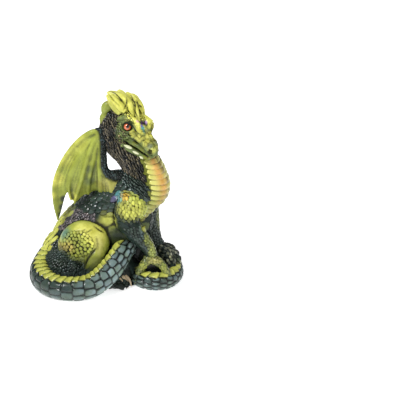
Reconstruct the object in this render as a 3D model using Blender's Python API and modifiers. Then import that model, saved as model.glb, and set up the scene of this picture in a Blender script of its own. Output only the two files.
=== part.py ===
"""Seated dragon statue: one casting with wings, looped tail and folded legs, and two glass eyes.

The statue stands on its flat underside. +X is to the right of its show side, -Y is towards the viewer
and +Z is up. The figure is drawn on a grid GRID_TALL units tall, each about a millimetre at its real height.
"""
import math

import bmesh
import bpy
import numpy as np
from mathutils import Matrix, Vector

HEIGHT = 0.215
GRID_TALL = 214.7
U = HEIGHT / GRID_TALL

EYE_RADIUS = 0.0042
EYE_GAP = 0.0003
WING_THICKNESS = 0.0034

CLAY_VOXEL = 1.5 * U
CLAY_SMOOTH = 3
SOLID_SHARE = 0.066
SHIFT = Vector((-0.75, -12.7, 0)) * U

UP = Vector((0, 0, 1))
SECTION_SIDES = 14

CASTING_GREEN = (0.055, 0.105, 0.075, 1)
IRIS_ORANGE = (0.75, 0.22, 0.05, 1)

# The head's own frame: x to the nose, y to its left, z out of its crown, from a point between the eyes.
HEAD_AT = Vector((30.4, 2, 179.7))
HEAD_FORWARD = Vector((0.66, -0.51, -0.55)).normalized()
HEAD_LEFT = UP.cross(HEAD_FORWARD).normalized()
HEAD_CROWN = HEAD_FORWARD.cross(HEAD_LEFT)
EYE_AT = (0.3, 11, 0)

# A wing's own frame: along its chord to the rear, outwards from the back, and up.
NEAR_WING_AT = Vector((22, 6, 0))
NEAR_WING_REAR = Vector((-1, 0, 0))
FAR_WING_AT = Vector((33, 22, 0))
FAR_WING_REAR = Vector((-0.26, 0.966, 0)).normalized()
FAR_WING_CHORD = 0.8


def in_head(x, y, z):
    return HEAD_AT + HEAD_FORWARD * x + HEAD_LEFT * y + HEAD_CROWN * z


def in_wing(side, back, out, z):
    """A point of the near (side -1) or the far (side 1) wing."""
    if side < 0:
        return NEAR_WING_AT + NEAR_WING_REAR * back + Vector((0, -out, z))
    outwards = Vector((FAR_WING_REAR.y, -FAR_WING_REAR.x, 0))
    return FAR_WING_AT + FAR_WING_REAR * back * FAR_WING_CHORD + outwards * out + UP * z


def smooth_line(rows, steps=5):
    """Rows of numbers joined by a Catmull-Rom curve."""
    rows = np.array(rows, float)
    padded = np.vstack([2 * rows[0] - rows[1], rows, 2 * rows[-1] - rows[-2]])
    line = []
    for a, b, c, d in zip(padded, padded[1:], padded[2:], padded[3:]):
        for t in np.arange(steps) / steps:
            bend = (2 * a - 5 * b + 4 * c - d) * t**2 + (3 * b - a - 3 * c + d) * t**3
            line.append(0.5 * (2 * b + (c - a) * t + bend))
    line.append(rows[-1])
    return np.array(line)


def loft(clay, stations, up=UP, steps=5, sides=SECTION_SIDES):
    """A closed limb through rows of x, y, z, half width and half height."""
    line = smooth_line(stations, steps)
    tangents = np.gradient(line[:, :3], axis=0)
    rings = []
    for row, tangent in zip(line, tangents):
        along = Vector(tangent).normalized()
        across = along.cross(up).normalized()
        over = across.cross(along)
        ring = []
        for k in range(sides):
            angle = 2 * math.pi * k / sides
            offset = across * row[3] * math.cos(angle) + over * row[4] * math.sin(angle)
            ring.append(clay.verts.new((Vector(row[:3]) + offset) * U))
        rings.append(ring)
    for first, second in zip(rings, rings[1:]):
        for k in range(sides):
            n = (k + 1) % sides
            clay.faces.new((first[k], first[n], second[n], second[k]))
    clay.faces.new(rings[0][::-1])
    clay.faces.new(rings[-1])


def tube(clay, stations, steps=5):
    """A round limb through rows of x, y, z and radius."""
    loft(clay, [(x, y, z, r, r) for x, y, z, r in stations], steps=steps)


def ball(clay, at, radii, turn_z=0.0, turn_y=0.0):
    turn = Matrix.Rotation(math.radians(turn_z), 4, "Z") @ Matrix.Rotation(math.radians(turn_y), 4, "Y")
    place = Matrix.Translation(Vector(at) * U) @ turn @ Matrix.Diagonal((*(Vector(radii) * U), 1))
    bmesh.ops.create_icosphere(clay, subdivisions=3, radius=1, matrix=place)


def head_ball(clay, at, radii):
    turn = Matrix((HEAD_FORWARD, HEAD_LEFT, HEAD_CROWN)).transposed().to_4x4()
    place = Matrix.Translation(in_head(*at) * U) @ turn @ Matrix.Diagonal((*(Vector(radii) * U), 1))
    bmesh.ops.create_icosphere(clay, subdivisions=3, radius=1, matrix=place)


def head_loft(clay, stations, up=None, steps=4):
    rows = [(*in_head(x, y, z), w, h) for x, y, z, w, h in stations]
    loft(clay, rows, up=up or HEAD_CROWN, steps=steps)


TAIL = [
    (-42, 22, 38, 17),
    (-49, 19, 31, 16),
    (-60, 10, 22, 15),
    (-66.5, -4, 16, 14),
    (-66, -19, 13, 13.5),
    (-58.5, -34, 12, 12.8),
    (-45, -44, 11.5, 12.5),
    (-27, -45, 11.5, 12.2),
    (-12, -38, 13.5, 12),
    (1, -28, 21, 12),
    (11, -19, 31, 11.5),
    (18, -8, 39, 11),
    (22, 4, 39, 10.6),
    (25, 13, 32, 10.2),
    (28, 15, 21, 9.8),
    (31, 9, 12, 9.4),
    (34, -4, 9.2, 9.1),
    (42, -15, 8.8, 8.9),
    (54, -18.5, 8.4, 8.8),
    (65, -13, 8.2, 8.6),
    (72.5, 0, 8, 8.2),
    (75, 15, 7.6, 7.4),
    (73, 29, 6.8, 6.2),
    (65, 39, 5.6, 4.8),
    (54, 43, 4.6, 3.2),
    (46, 42, 3.6, 1.6),
]


def tail(clay):
    tube(clay, TAIL)


TORSO = [
    (-43, 22, 37, 18),
    (-30, 22, 49, 23.5),
    (-12, 22, 64, 26),
    (8, 20, 79, 27),
    (24, 15, 92, 27),
    (37, 9, 104, 25),
]


def torso(clay):
    tube(clay, TORSO)
    ball(clay, (-42, 0, 20), (25, 24, 21))
    ball(clay, (-44, 18, 26), (24, 24, 26))
    ball(clay, (42.5, 7.5, 106), (28.5, 25, 30))
    ball(clay, (14, 14, 58), (24, 22, 22))
    ball(clay, (32, 18, 66), (18, 15, 24))
    # Ground between the tail's loops and under the belly.
    ball(clay, (0, 14, 2), (58, 30, 5))
    ball(clay, (4, 11, 12), (38, 27, 25))
    ball(clay, (50, 12, 3), (24, 24, 11))


def serrated(clay, stations, pitch, across=None):
    """A raised strip whose height falls away along each scute: rows of x, y, z, half width and rise."""
    line = smooth_line(stations, 24)
    run = 0
    rows = []
    for before, row in zip(line, line[1:]):
        run += float(np.linalg.norm(row[:3] - before[:3]))
        share = run / pitch % 1
        rows.append((*row[:3], row[3] * (1 - 0.25 * share), row[4] * (1.25 - 0.7 * share)))
    loft(clay, rows, up=across or UP, steps=1, sides=10)


def ridge(clay):
    """The serrated crest of the back and the tail."""
    line = smooth_line(TORSO[::-1] + TAIL[1:], 3)
    tangents = np.gradient(line[:, :3], axis=0)
    rows = []
    for row, tangent in list(zip(line, tangents))[4:]:
        along = Vector(tangent).normalized()
        over = (UP - along * along.z).normalized()
        x, y, z = Vector(row[:3]) + over * row[3] * 0.95
        rows.append((x, y, z, 1 + 0.24 * row[3], 0.8 + 0.13 * row[3]))
    serrated(clay, rows, 8.5)


def belly_plates(clay):
    serrated(clay, [
        (41, -5, 146, 6, 1.6),
        (48, -7.5, 136, 8, 2),
        (56, -10, 124, 9.5, 2.2),
        (60.5, -11.5, 112, 10.5, 2.2),
        (60.5, -12, 99, 10, 2.2),
        (56, -10, 87, 7.5, 2),
        (49.5, -6, 77, 4, 1.8),
        (46, -3, 72, 1.5, 1),
    ], 7.5, across=Vector((0.643, -0.766, 0)))


def haunches(clay):
    ball(clay, (-22.5, -4, 46.5), (27, 19.5, 25), turn_y=-15)
    ball(clay, (-22, 46, 44), (26, 18, 24), turn_y=-15)
    # Shins and feet, folded under the haunches.
    for side, y in ((-1, -11), (1, 53)):
        out = 4 * side
        foot = y + out
        tube(clay, [(-4, y, 48, 12), (-5, foot, 36, 11), (-13, foot, 22, 9.5), (-20, foot, 10, 8)])
        tube(clay, [(-22, foot, 8.5, 8), (-6, foot, 8.5, 9), (8, foot, 8.5, 9), (16, foot, 6.5, 6.5)])
        for spread, reach in ((-8, 20), (-2.5, 24), (4, 25)):
            toe = foot + spread
            tube(clay, [(8, foot + 0.5 * spread, 6.5, 5.5), (reach - 6, toe, 7, 4.4), (reach, toe, 3.4, 3)])


def forelegs(clay):
    # Near foreleg: shoulder, upper arm, forearm and wrist.
    ball(clay, (28, -7, 93), (16.5, 15, 18))
    tube(clay, [
        (26, -8, 92, 15), (21, -11, 76, 13.5), (30, -13, 63, 11.4), (39.5, -13, 51, 9), (45.5, -12, 42, 7.4),
        (48, -11, 34, 6.8),
    ])
    near_toes = (
        ((48, -12, 33), (41, -16, 28), (34, -14, 16)),
        ((50, -12, 32), (59, -16, 27), (66.5, -15, 14)),
        ((46, -8, 33), (43, 0, 26), (40, 6, 14)),
    )
    for root, knuckle, tip in near_toes:
        tube(clay, [(*root, 5.5), (*knuckle, 4.2), (*tip, 3.2)])
    # Far foreleg, its paw spread over the end of the tail.
    ball(clay, (46, 25, 92), (14, 14, 17))
    tube(clay, [
        (43, 27, 92, 15), (44, 30, 74, 15), (46.5, 30, 58, 13.5), (49, 29, 46, 11.5), (55, 27, 36, 9),
        (60, 26, 30, 7),
    ])
    far_toes = (
        ((58, 20, 29), (65, 12, 26), (72, 4, 14)),
        ((61, 25, 28), (70, 20, 25), (78, 15, 12)),
        ((61, 29, 28), (68, 33, 25), (76, 33, 11)),
        ((57, 24, 29), (57, 15, 22), (60, 9, 10)),
    )
    for root, knuckle, tip in far_toes:
        tube(clay, [(*root, 5.2), (*knuckle, 4.2), (*tip, 3.1)])


def neck(clay):
    tube(clay, [
        (42.5, 8, 112, 25),
        (39, 8, 126, 21.5),
        (31.5, 8, 139, 19),
        (21.5, 9, 151, 17.2),
        (14, 10, 163, 16),
        (11, 11, 174, 14.8),
        (14, 10, 184, 14),
        (22, 8, 185, 12.5),
    ])


def leaf(clay, path, width, thick, up, blunt=0.1):
    """A lock of the crest or an ear: widest a third of the way along, narrowing to its tip."""
    shares = np.linspace(0, 1, len(path))
    rows = []
    for (x, y, z), s in zip(path, shares):
        swell = math.sin(math.pi * min(1, 0.18 + 0.82 * s) ** 0.8)
        rows.append((x, y, z, width * max(blunt, swell), thick * max(blunt, 1 - 0.55 * s)))
    loft(clay, rows, up=up)


def head(clay):
    head_ball(clay, (-5, 0, -1), (17, 13, 13))
    head_ball(clay, (-6, 0, -12), (15, 12, 13))
    head_ball(clay, (-18, 2, 5), (12, 13, 13))
    head_ball(clay, (-20, 3, -8), (10, 10, 12))
    head_loft(clay, [(-2, 0, -13, 8, 7), (14, 0, -11, 5.5, 5), (29, 0, -11, 3.6, 4)])
    # Snout and lower jaw.
    head_loft(clay, [
        (2, 0, -2, 10.5, 9), (12, 0, -3, 9, 7.5), (22, 0, -4, 7.4, 6), (31, 0, -5, 7, 5.6),
        (36, 0, -7.5, 5.6, 4.6), (39, 0, -9.5, 3, 2.6),
    ])
    head_loft(clay, [
        (-8, 0, -22, 11, 8), (6, 0, -21, 9.5, 6), (20, 0, -19, 7.5, 4.6), (31, 0, -16.5, 5.6, 3.6),
        (37, 0, -15, 3.4, 2.4),
    ])
    for side in (-1, 1):
        # Brow, lower lid, lip, nostril and cheek.
        head_loft(clay, [
            (-13, 11 * side, 5, 2, 2), (-5, 12 * side, 8, 4, 3.4), (4, 12.5 * side, 9, 4.8, 4),
            (11, 9.5 * side, 6.5, 4.4, 3.8), (19, 5 * side, 2.5, 2.4, 2),
        ])
        head_loft(clay, [
            (-9, 10 * side, -4, 2, 2), (-3, 12 * side, -6, 3, 2.4), (6, 11 * side, -6.5, 3, 2.4),
            (14, 8 * side, -5.5, 2, 2),
        ])
        head_loft(clay, [
            (37, 3.5 * side, -11, 1.6, 1.6), (27, 6.6 * side, -11.5, 2.2, 2.2), (16, 8.6 * side, -15, 2.4, 2.4),
            (6, 10.5 * side, -19, 2.4, 2.4),
        ])
        head_ball(clay, (32.5, 4.6 * side, -2.6), (4.8, 4, 4.4))
        head_ball(clay, (-5, 9.5 * side, -14), (10, 5, 9))
        # Ear: two leaves that meet along a slit, and a lock behind them.
        far = max(0, side)
        for base, middle, tip, width in (
            ((-12, 7, 13), (-23, 9, 18), (-35, 12.5, 17.5), 6),
            ((-14, 11, 7), (-25, 13, 11.5), (-36, 15, 12.5), 5.6),
            ((-19, 12, 2), (-28, 13, 4), (-35, 13, 7.5), 5),
        ):
            drop = Vector((6, 1, -9)) * far
            path = [in_head(x + drop.x * s, side * y, z + drop.z * s)
                    for (x, y, z), s in zip(smooth_line((base, middle, tip), 3), np.linspace(0, 1, 7))]
            leaf(clay, path, width, 4, HEAD_LEFT * side, 0.5)
    # Crest: locks that sweep from the forehead up over the crown.
    for width, *path in (
        (4.6, (2, -5, 9), (-6, -6, 12.5), (-15, -5, 15), (-23, -3, 14)),
        (4.6, (5, 0, 8.5), (-3, -1, 13.5), (-12, 0, 17), (-22, 1, 16)),
        (5, (5, 6, 10), (-3, 6, 14), (-12, 7, 16), (-22, 7, 14)),
        (5, (1, 11, 10), (-7, 11.5, 12.5), (-15, 11, 13), (-24, 9, 10)),
    ):
        leaf(clay, [in_head(*p) for p in smooth_line(path, 2)], width, 3.6, HEAD_LEFT, 0.4)
    # Mane: a row of locks down the back of the neck.
    for start, middle, end in (
        ((9, 10, 200), (2, 10, 195), (-2, 11, 184)),
        ((6, 12, 190), (0, 12, 182), (-2, 12, 170)),
        ((4, 13, 178), (-1, 15, 169), (0, 16, 157)),
        ((6, 13, 167), (3, 16, 158), (8, 17, 146)),
    ):
        leaf(clay, [start, middle, end], 6, 4.5, Vector((0, 1, 0)))


WING_ARM = (
    (-2, 0, 117, 9), (8, 3, 121.5, 7.8), (17, 5, 123, 7), (22, 6, 128, 6.8), (23, 6, 137, 6.2), (23.5, 3, 152, 5.6),
    (25.5, 0, 167, 4.6), (29, -1, 172, 3),
)
# Each finger runs from the wrist; the membrane spans one finger and the next.
WING_FINGERS = (
    ((28, 0, 169.5), (38, 0, 167.5), (52, -1, 156), (66, -1, 136.5), (75.5, 1, 112.5), (76, 3, 91), (72, 3, 70)),
    ((28, 0, 168.5), (37, 1, 159), (48, 2, 144), (56, 3, 128), (60, 3, 113), (60, 3, 101), (58, 2, 92)),
    ((28, 1, 168), (36, 5, 154), (43, 8, 133), (48, 8, 113), (52, 4, 99), (54, 2, 92), (55, 0, 87)),
    ((28, 1, 166), (32, 4, 151), (36, 7, 132), (39, 7, 116), (40, 3, 106), (40, 0, 101), (40, -3, 97)),
    ((27, 3, 160), (28, 4, 148), (28.5, 6, 134), (28, 8, 119), (28, 4, 109), (28, 0, 102), (28, -6, 97)),
    ((20, 5, 122), (19, 6, 119), (17, 8, 113), (16, 9, 108), (15, 9, 103), (14, 9, 99), (13, 8, 95)),
    ((0, 2, 118), (0, 2, 114), (0, 6, 109), (0, 9, 104), (0, 12, 100), (0, 13, 96), (0, 13, 92)),
)
MEMBRANE_SAG = (4.0, 3.0, 2.4, 2.4, 1.5, 1.0)
MEMBRANE_SCALLOP = (15, 3, 2, 2, 1, 1)


def membrane(clay, side):
    """The wing's skin as a closed sheet: rows follow the fingers, columns cross them and sag between."""
    fingers = [smooth_line(finger, 4) for finger in WING_FINGERS]
    across = 5
    columns = []
    shares = np.linspace(0, 1, len(fingers[0]))
    for first, second, sag, scallop in zip(fingers, fingers[1:], MEMBRANE_SAG, MEMBRANE_SCALLOP):
        for s in np.arange(across) / across:
            arch = 4 * s * (1 - s)
            column = first * (1 - s) + second * s
            column[:, 1] -= sag * arch * shares
            column[:, 2] += scallop * 6.75 * s * s * (1 - s) * shares**3
            columns.append(column)
    columns.append(fingers[-1])
    grid = np.array(columns)
    half = WING_THICKNESS / U / 2
    outer, inner = [], []
    for offset, skin in ((half, outer), (-half, inner)):
        for column in grid:
            skin.append([clay.verts.new(in_wing(side, back, out + offset, z) * U) for back, out, z in column])
    last_column, last_row = len(grid) - 1, grid.shape[1] - 1
    for i in range(last_column):
        for j in range(last_row):
            clay.faces.new((outer[i][j], outer[i + 1][j], outer[i + 1][j + 1], outer[i][j + 1]))
            clay.faces.new((inner[i][j + 1], inner[i + 1][j + 1], inner[i + 1][j], inner[i][j]))
        for j in (0, last_row):
            clay.faces.new((outer[i][j], inner[i][j], inner[i + 1][j], outer[i + 1][j]))
    for i in (0, last_column):
        for j in range(last_row):
            clay.faces.new((outer[i][j + 1], inner[i][j + 1], inner[i][j], outer[i][j]))


def wing(clay, side):
    tube(clay, [(*in_wing(side, back, out, z), r) for back, out, z, r in WING_ARM])
    membrane(clay, side)
    for finger, thick in zip(WING_FINGERS[:5], (3.0, 2.4, 2.4, 2.4, 2.2)):
        radii = np.linspace(thick, 1.4, len(finger))
        tube(clay, [(*in_wing(side, *point), r) for point, r in zip(finger, radii)])


def new_object(name, mesh, collection, colour):
    material = bpy.data.materials.new(name + "_finish")
    material.use_nodes = True
    shader = material.node_tree.nodes["Principled BSDF"]
    shader.inputs["Base Color"].default_value = colour
    shader.inputs["Roughness"].default_value = 0.4
    mesh.materials.append(material)
    obj = bpy.data.objects.new(name, mesh)
    collection.objects.link(obj)
    return obj


def add_cutter(name, clay, collection):
    mesh = bpy.data.meshes.new(name)
    clay.to_mesh(mesh)
    obj = bpy.data.objects.new(name, mesh)
    obj.hide_render = True
    obj.display_type = "WIRE"
    collection.objects.link(obj)
    return obj


def eye_place(side):
    x, y, z = EYE_AT
    return in_head(x, side * y, z) * U + SHIFT


def cut(obj, cutter):
    modifier = obj.modifiers.new("cut_" + cutter.name, "BOOLEAN")
    modifier.operation = "DIFFERENCE"
    modifier.object = cutter


def build():
    for obj in list(bpy.data.objects):
        bpy.data.objects.remove(obj)
    parts = bpy.data.collections.new("dragon_statue")
    cutters = bpy.data.collections.new("cutters")
    for collection in (parts, cutters):
        bpy.context.scene.collection.children.link(collection)

    clay = bmesh.new()
    for form in (torso, belly_plates, haunches, forelegs, tail, ridge, neck, head):
        form(clay)
    for side in (-1, 1):
        wing(clay, side)
    bmesh.ops.recalc_face_normals(clay, faces=clay.faces)
    bmesh.ops.translate(clay, vec=SHIFT, verts=clay.verts)
    mesh = bpy.data.meshes.new("dragon")
    clay.to_mesh(mesh)
    dragon = new_object("dragon", mesh, parts, CASTING_GREEN)

    remesh = dragon.modifiers.new("join", "REMESH")
    remesh.mode = "VOXEL"
    remesh.voxel_size = CLAY_VOXEL
    soften = dragon.modifiers.new("soften", "SMOOTH")
    soften.iterations = CLAY_SMOOTH
    thin = dragon.modifiers.new("thin", "DECIMATE")
    thin.ratio = SOLID_SHARE

    ground = bmesh.new()
    bmesh.ops.create_cube(ground, size=2 * HEIGHT, matrix=Matrix.Translation((0, 0, -HEIGHT)))
    cut(dragon, add_cutter("ground", ground, cutters))
    for name, side in (("right", -1), ("left", 1)):
        socket = bmesh.new()
        place = Matrix.Translation(eye_place(side))
        bmesh.ops.create_uvsphere(socket, u_segments=12, v_segments=8, radius=EYE_RADIUS + EYE_GAP, matrix=place)
        cut(dragon, add_cutter(name + "_socket", socket, cutters))
        eyeball = bmesh.new()
        bmesh.ops.create_uvsphere(eyeball, u_segments=12, v_segments=8, radius=EYE_RADIUS, matrix=place)
        eye_mesh = bpy.data.meshes.new(name + "_eye")
        eyeball.to_mesh(eye_mesh)
        eye_mesh.shade_smooth()
        new_object(name + "_eye", eye_mesh, parts, IRIS_ORANGE)


build()
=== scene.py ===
"""Carving, scales and paint of the seated dragon statue, on its packed casting.

Shapes are drawn on the casting's own grid, in units of about a millimetre, and turned into metres at the
end. x runs to the right of the show side, -y towards the viewer and z up.
"""

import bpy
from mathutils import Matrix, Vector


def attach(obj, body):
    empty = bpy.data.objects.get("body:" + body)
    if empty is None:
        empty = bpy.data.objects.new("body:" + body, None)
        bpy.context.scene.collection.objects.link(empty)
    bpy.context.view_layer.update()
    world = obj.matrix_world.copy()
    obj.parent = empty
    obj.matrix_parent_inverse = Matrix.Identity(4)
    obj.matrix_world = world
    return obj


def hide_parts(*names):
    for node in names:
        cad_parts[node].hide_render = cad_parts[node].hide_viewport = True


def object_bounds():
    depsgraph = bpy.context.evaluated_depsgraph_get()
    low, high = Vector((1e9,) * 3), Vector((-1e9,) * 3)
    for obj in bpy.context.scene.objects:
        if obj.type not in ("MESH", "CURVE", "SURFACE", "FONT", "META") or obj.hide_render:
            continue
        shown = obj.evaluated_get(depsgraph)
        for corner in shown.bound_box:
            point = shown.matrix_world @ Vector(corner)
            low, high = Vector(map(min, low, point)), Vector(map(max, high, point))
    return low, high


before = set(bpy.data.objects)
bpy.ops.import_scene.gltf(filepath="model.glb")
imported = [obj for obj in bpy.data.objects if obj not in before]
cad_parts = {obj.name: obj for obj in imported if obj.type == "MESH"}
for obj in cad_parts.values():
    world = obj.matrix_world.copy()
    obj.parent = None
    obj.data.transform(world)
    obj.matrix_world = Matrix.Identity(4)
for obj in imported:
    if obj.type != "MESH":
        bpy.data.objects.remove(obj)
packed_size = [list(corner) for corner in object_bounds()]

import math

import bmesh
import bpy
import numpy as np
from mathutils import Matrix, Vector
from mathutils.bvhtree import BVHTree
from mathutils.kdtree import KDTree

HEIGHT = 0.215
GRID_TALL = 214.7
U = HEIGHT / GRID_TALL
SHIFT = Vector((-0.75, -12.7, 0))
EYE_RADIUS = 0.0042 / U

BODY_VOXEL = 1.12
HEAD_VOXEL = 0.6
WING_VOXEL = 0.95

UP = Vector((0, 0, 1))
RANDOM = np.random.default_rng(7)

HEAD_AT = Vector((30.4, 2, 179.7))
HEAD_FORWARD = Vector((0.66, -0.51, -0.55)).normalized()
HEAD_LEFT = UP.cross(HEAD_FORWARD).normalized()
HEAD_CROWN = HEAD_FORWARD.cross(HEAD_LEFT)
EYE_AT = (0.3, 11, 0)

NEAR_WING_AT = Vector((22, 6, 0))
NEAR_WING_REAR = Vector((-1, 0, 0))
FAR_WING_AT = Vector((33, 22, 0))
FAR_WING_REAR = Vector((-0.26, 0.966, 0)).normalized()
FAR_WING_CHORD = 0.8
WING_THICKNESS = 3.2


def paint(code):
    """A paint colour from its usual 0 to 255 values, as linear light."""
    share = np.array(code) / 255
    return np.where(share < 0.04045, share / 12.92, ((share + 0.055) / 1.055) ** 2.4)


LEMON = paint((204, 201, 97))
LEAF = paint((158, 167, 72))
OLIVE = paint((132, 138, 60))
MOSS = paint((92, 104, 58))
PINE = paint((30, 43, 37))
SLATE = paint((84, 100, 93))
INK = paint((14, 17, 16))
AMBER = paint((226, 176, 74))
STRAW = paint((176, 170, 96))
TEAL = paint((86, 150, 150))
VIOLET = paint((120, 84, 150))
RUSSET = paint((120, 76, 40))
HORN = paint((190, 170, 138))
PEARL = paint((206, 208, 172))


# Lines, frames and lofts


def in_head(x, y, z):
    return HEAD_AT + HEAD_FORWARD * x + HEAD_LEFT * y + HEAD_CROWN * z


def in_wing(side, back, out, z):
    if side < 0:
        return NEAR_WING_AT + NEAR_WING_REAR * back + Vector((0, -out, z))
    outwards = Vector((FAR_WING_REAR.y, -FAR_WING_REAR.x, 0))
    return FAR_WING_AT + FAR_WING_REAR * back * FAR_WING_CHORD + outwards * out + UP * z


def smooth_line(rows, steps=5):
    """Rows of numbers joined by a Catmull-Rom curve."""
    rows = np.array(rows, float)
    padded = np.vstack([2 * rows[0] - rows[1], rows, 2 * rows[-1] - rows[-2]])
    line = []
    for a, b, c, d in zip(padded, padded[1:], padded[2:], padded[3:]):
        for t in np.arange(steps) / steps:
            bend = (2 * a - 5 * b + 4 * c - d) * t**2 + (3 * b - a - 3 * c + d) * t**3
            line.append(0.5 * (2 * b + (c - a) * t + bend))
    line.append(rows[-1])
    return np.array(line)


def even_line(rows, pitch):
    """The same curve with its points a pitch apart."""
    line = smooth_line(rows, 30)
    run = np.concatenate([[0], np.cumsum(np.linalg.norm(np.diff(line[:, :3], axis=0), axis=1))])
    marks = np.linspace(0, run[-1], max(2, int(round(run[-1] / pitch)) + 1))
    return np.stack([np.interp(marks, run, line[:, k]) for k in range(line.shape[1])], 1)


def frames(line, up=UP):
    """Along, across and over at each point of a line."""
    tangents = np.gradient(line[:, :3], axis=0)
    out = []
    for tangent in tangents:
        along = Vector(tangent).normalized()
        across = along.cross(up).normalized()
        out.append((along, across, across.cross(along)))
    return out


def skin_rings(clay, rings):
    for first, second in zip(rings, rings[1:]):
        for k in range(len(first)):
            n = (k + 1) % len(first)
            clay.faces.new((first[k], first[n], second[n], second[k]))
    clay.faces.new(rings[0][::-1])
    clay.faces.new(rings[-1])


def loft(clay, stations, up=UP, steps=5, sides=20):
    """A closed limb through rows of x, y, z, half width and half height."""
    line = smooth_line(stations, steps)
    rings = []
    for row, (_, across, over) in zip(line, frames(line, up)):
        ring = []
        for k in range(sides):
            angle = 2 * math.pi * k / sides
            offset = across * row[3] * math.cos(angle) + over * row[4] * math.sin(angle)
            ring.append(clay.verts.new(Vector(row[:3]) + offset))
        rings.append(ring)
    skin_rings(clay, rings)


def tube(clay, stations, steps=5):
    loft(clay, [(x, y, z, r, r) for x, y, z, r in stations], steps=steps)


def ball(clay, at, radii, turn_y=0.0):
    turn = Matrix.Rotation(math.radians(turn_y), 4, "Y")
    place = Matrix.Translation(Vector(at)) @ turn @ Matrix.Diagonal((*radii, 1))
    bmesh.ops.create_icosphere(clay, subdivisions=4, radius=1, matrix=place)


def head_ball(clay, at, radii):
    turn = Matrix((HEAD_FORWARD, HEAD_LEFT, HEAD_CROWN)).transposed().to_4x4()
    place = Matrix.Translation(in_head(*at)) @ turn @ Matrix.Diagonal((*radii, 1))
    bmesh.ops.create_icosphere(clay, subdivisions=4, radius=1, matrix=place)


def head_loft(clay, stations):
    rows = [(*in_head(x, y, z), w, h) for x, y, z, w, h in stations]
    loft(clay, rows, up=HEAD_CROWN, steps=6)


# The figure's forms

TORSO = [
    (-43, 22, 37, 18), (-30, 22, 49, 23.5), (-12, 22, 64, 26),
    (8, 20, 79, 27), (24, 15, 92, 27), (37, 9, 104, 25),
]
NECK = [
    (43, 8, 112, 24), (40, 8.5, 127, 20.4), (27.5, 12, 143, 16.8), (14.5, 14, 155, 15.6),
    (9.5, 14, 166, 14.8), (11.5, 13, 176, 14), (16, 12, 184, 13), (22, 11, 184.5, 12.5),
]
TAIL = [
    (-42, 22, 38, 17), (-49, 19, 31, 16), (-60, 10, 22, 15), (-66.5, -4, 16, 14), (-66, -19, 13, 13.5),
    (-58.5, -34, 12, 12.8), (-45, -44, 11.5, 12.5), (-27, -45, 11.5, 12.2), (-12, -38, 13.5, 12),
    (1, -28, 21, 12), (11, -19, 31, 11.5), (18, -8, 39, 11), (22, 4, 39, 10.6),
    (25, 13, 32, 10.2), (28, 15, 21, 9.8),
    (31, 9, 12, 9.4), (34, -4, 9.2, 9.1), (42, -15, 8.8, 8.9), (54, -18.5, 8.4, 8.8), (65, -13, 8.2, 8.6),
    (72.2, 0, 8, 8.2), (74.3, 15, 7.6, 7.4), (73, 29, 6.8, 6.2), (65, 39, 5.6, 4.8), (54, 43, 4.6, 3.2),
    (46, 42, 3.6, 1.6),
]
NEAR_ARM = [
    (26, -8, 92, 15), (22, -11, 76, 13), (29.5, -13, 65, 10.8), (36, -13, 57, 9.2), (41.5, -13, 50, 8),
    (46, -12, 42, 6.8), (49, -11, 34, 6),
]
FAR_ARM = [
    (43, 27, 92, 14), (42, 30, 74, 14), (44, 30, 58, 12.5),
    (46.5, 29, 46, 11), (51, 27, 36, 9), (57, 26, 30, 7),
]
NEAR_TOES = (
    ((48, -12, 33), (41, -16, 28), (34, -14, 16)),
    ((50, -12, 32), (59, -16, 27), (66.5, -15, 14)),
    ((46, -8, 33), (43, 0, 26), (40, 6, 14)),
)
FAR_TOES = (
    ((58, 20, 29), (65, 12, 26), (72, 4, 14)),
    ((61, 25, 28), (70, 20, 25), (78, 15, 12)),
    ((61, 29, 28), (68, 33, 25), (76, 33, 11)),
    ((57, 24, 29), (57, 15, 22), (60, 9, 10)),
)
HIND_TOES = ((-8, 20), (-2.5, 24), (4, 25))
# The belly's plates: height, the middle of the neck or chest there, the way they face and half their spread
PLATES = [
    (150, 25, 9, 70, 24), (144, 30, 8, 67, 30), (134, 36, 8, 64, 42), (122, 40.5, 8, 64, 49),
    (110, 42.5, 8, 65, 51), (98, 42.5, 7.5, 62, 51), (89, 41, 7, 46, 44), (82, 40, 6, 34, 30),
    (75, 38, 5, 22, 16), (69, 36, 4, 16, 6),
]
WING_ARM = (
    (-2, 0, 117, 8), (8, 3, 120.5, 6), (15, 5, 121.5, 5), (21, 6, 124, 4.8), (24.4, 6, 131, 4.8),
    (25, 5, 140, 4.5), (25.4, 3, 152, 4.2), (26.5, 0, 165, 4.2), (29, -1, 171.5, 3.4),
)
WING_FINGERS = (
    (
        (28, 0, 169.5), (38, 0, 167.5), (52, -1, 156), (66, -1, 136.5), (75.5, 1, 112.5), (76, 3, 91),
        (72, 3, 70),
    ),
    ((28, 0, 168.5), (37, 1, 159), (48, 2, 144), (56, 3, 128), (60, 3, 113), (60, 3, 101), (58, 2, 92)),
    ((28, 1, 168), (36, 5, 154), (43, 8, 133), (48, 8, 113), (52, 4, 99), (54, 2, 92), (55, 0, 87)),
    ((28, 1, 166), (32, 4, 151), (36, 7, 132), (39, 7, 116), (40, 3, 106), (40, 0, 101), (40, -3, 97)),
    ((27, 3, 160), (28, 4, 148), (28.5, 6, 134), (28, 8, 119), (28, 4, 109), (28, 0, 102), (28, -6, 97)),
    ((20, 5, 122), (19, 6, 119), (17, 8, 113), (16, 9, 108), (15, 9, 103), (14, 9, 99), (13, 8, 95)),
    ((0, 2, 118), (0, 2, 114), (0, 6, 109), (0, 9, 104), (0, 12, 100), (0, 13, 96), (0, 13, 92)),
)
MEMBRANE_SAG = (4.0, 3.2, 3.0, 5.0, 1.5, 1.2)
MEMBRANE_SCALLOP = (15, 3, 2, 2, 1, 1)


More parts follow.
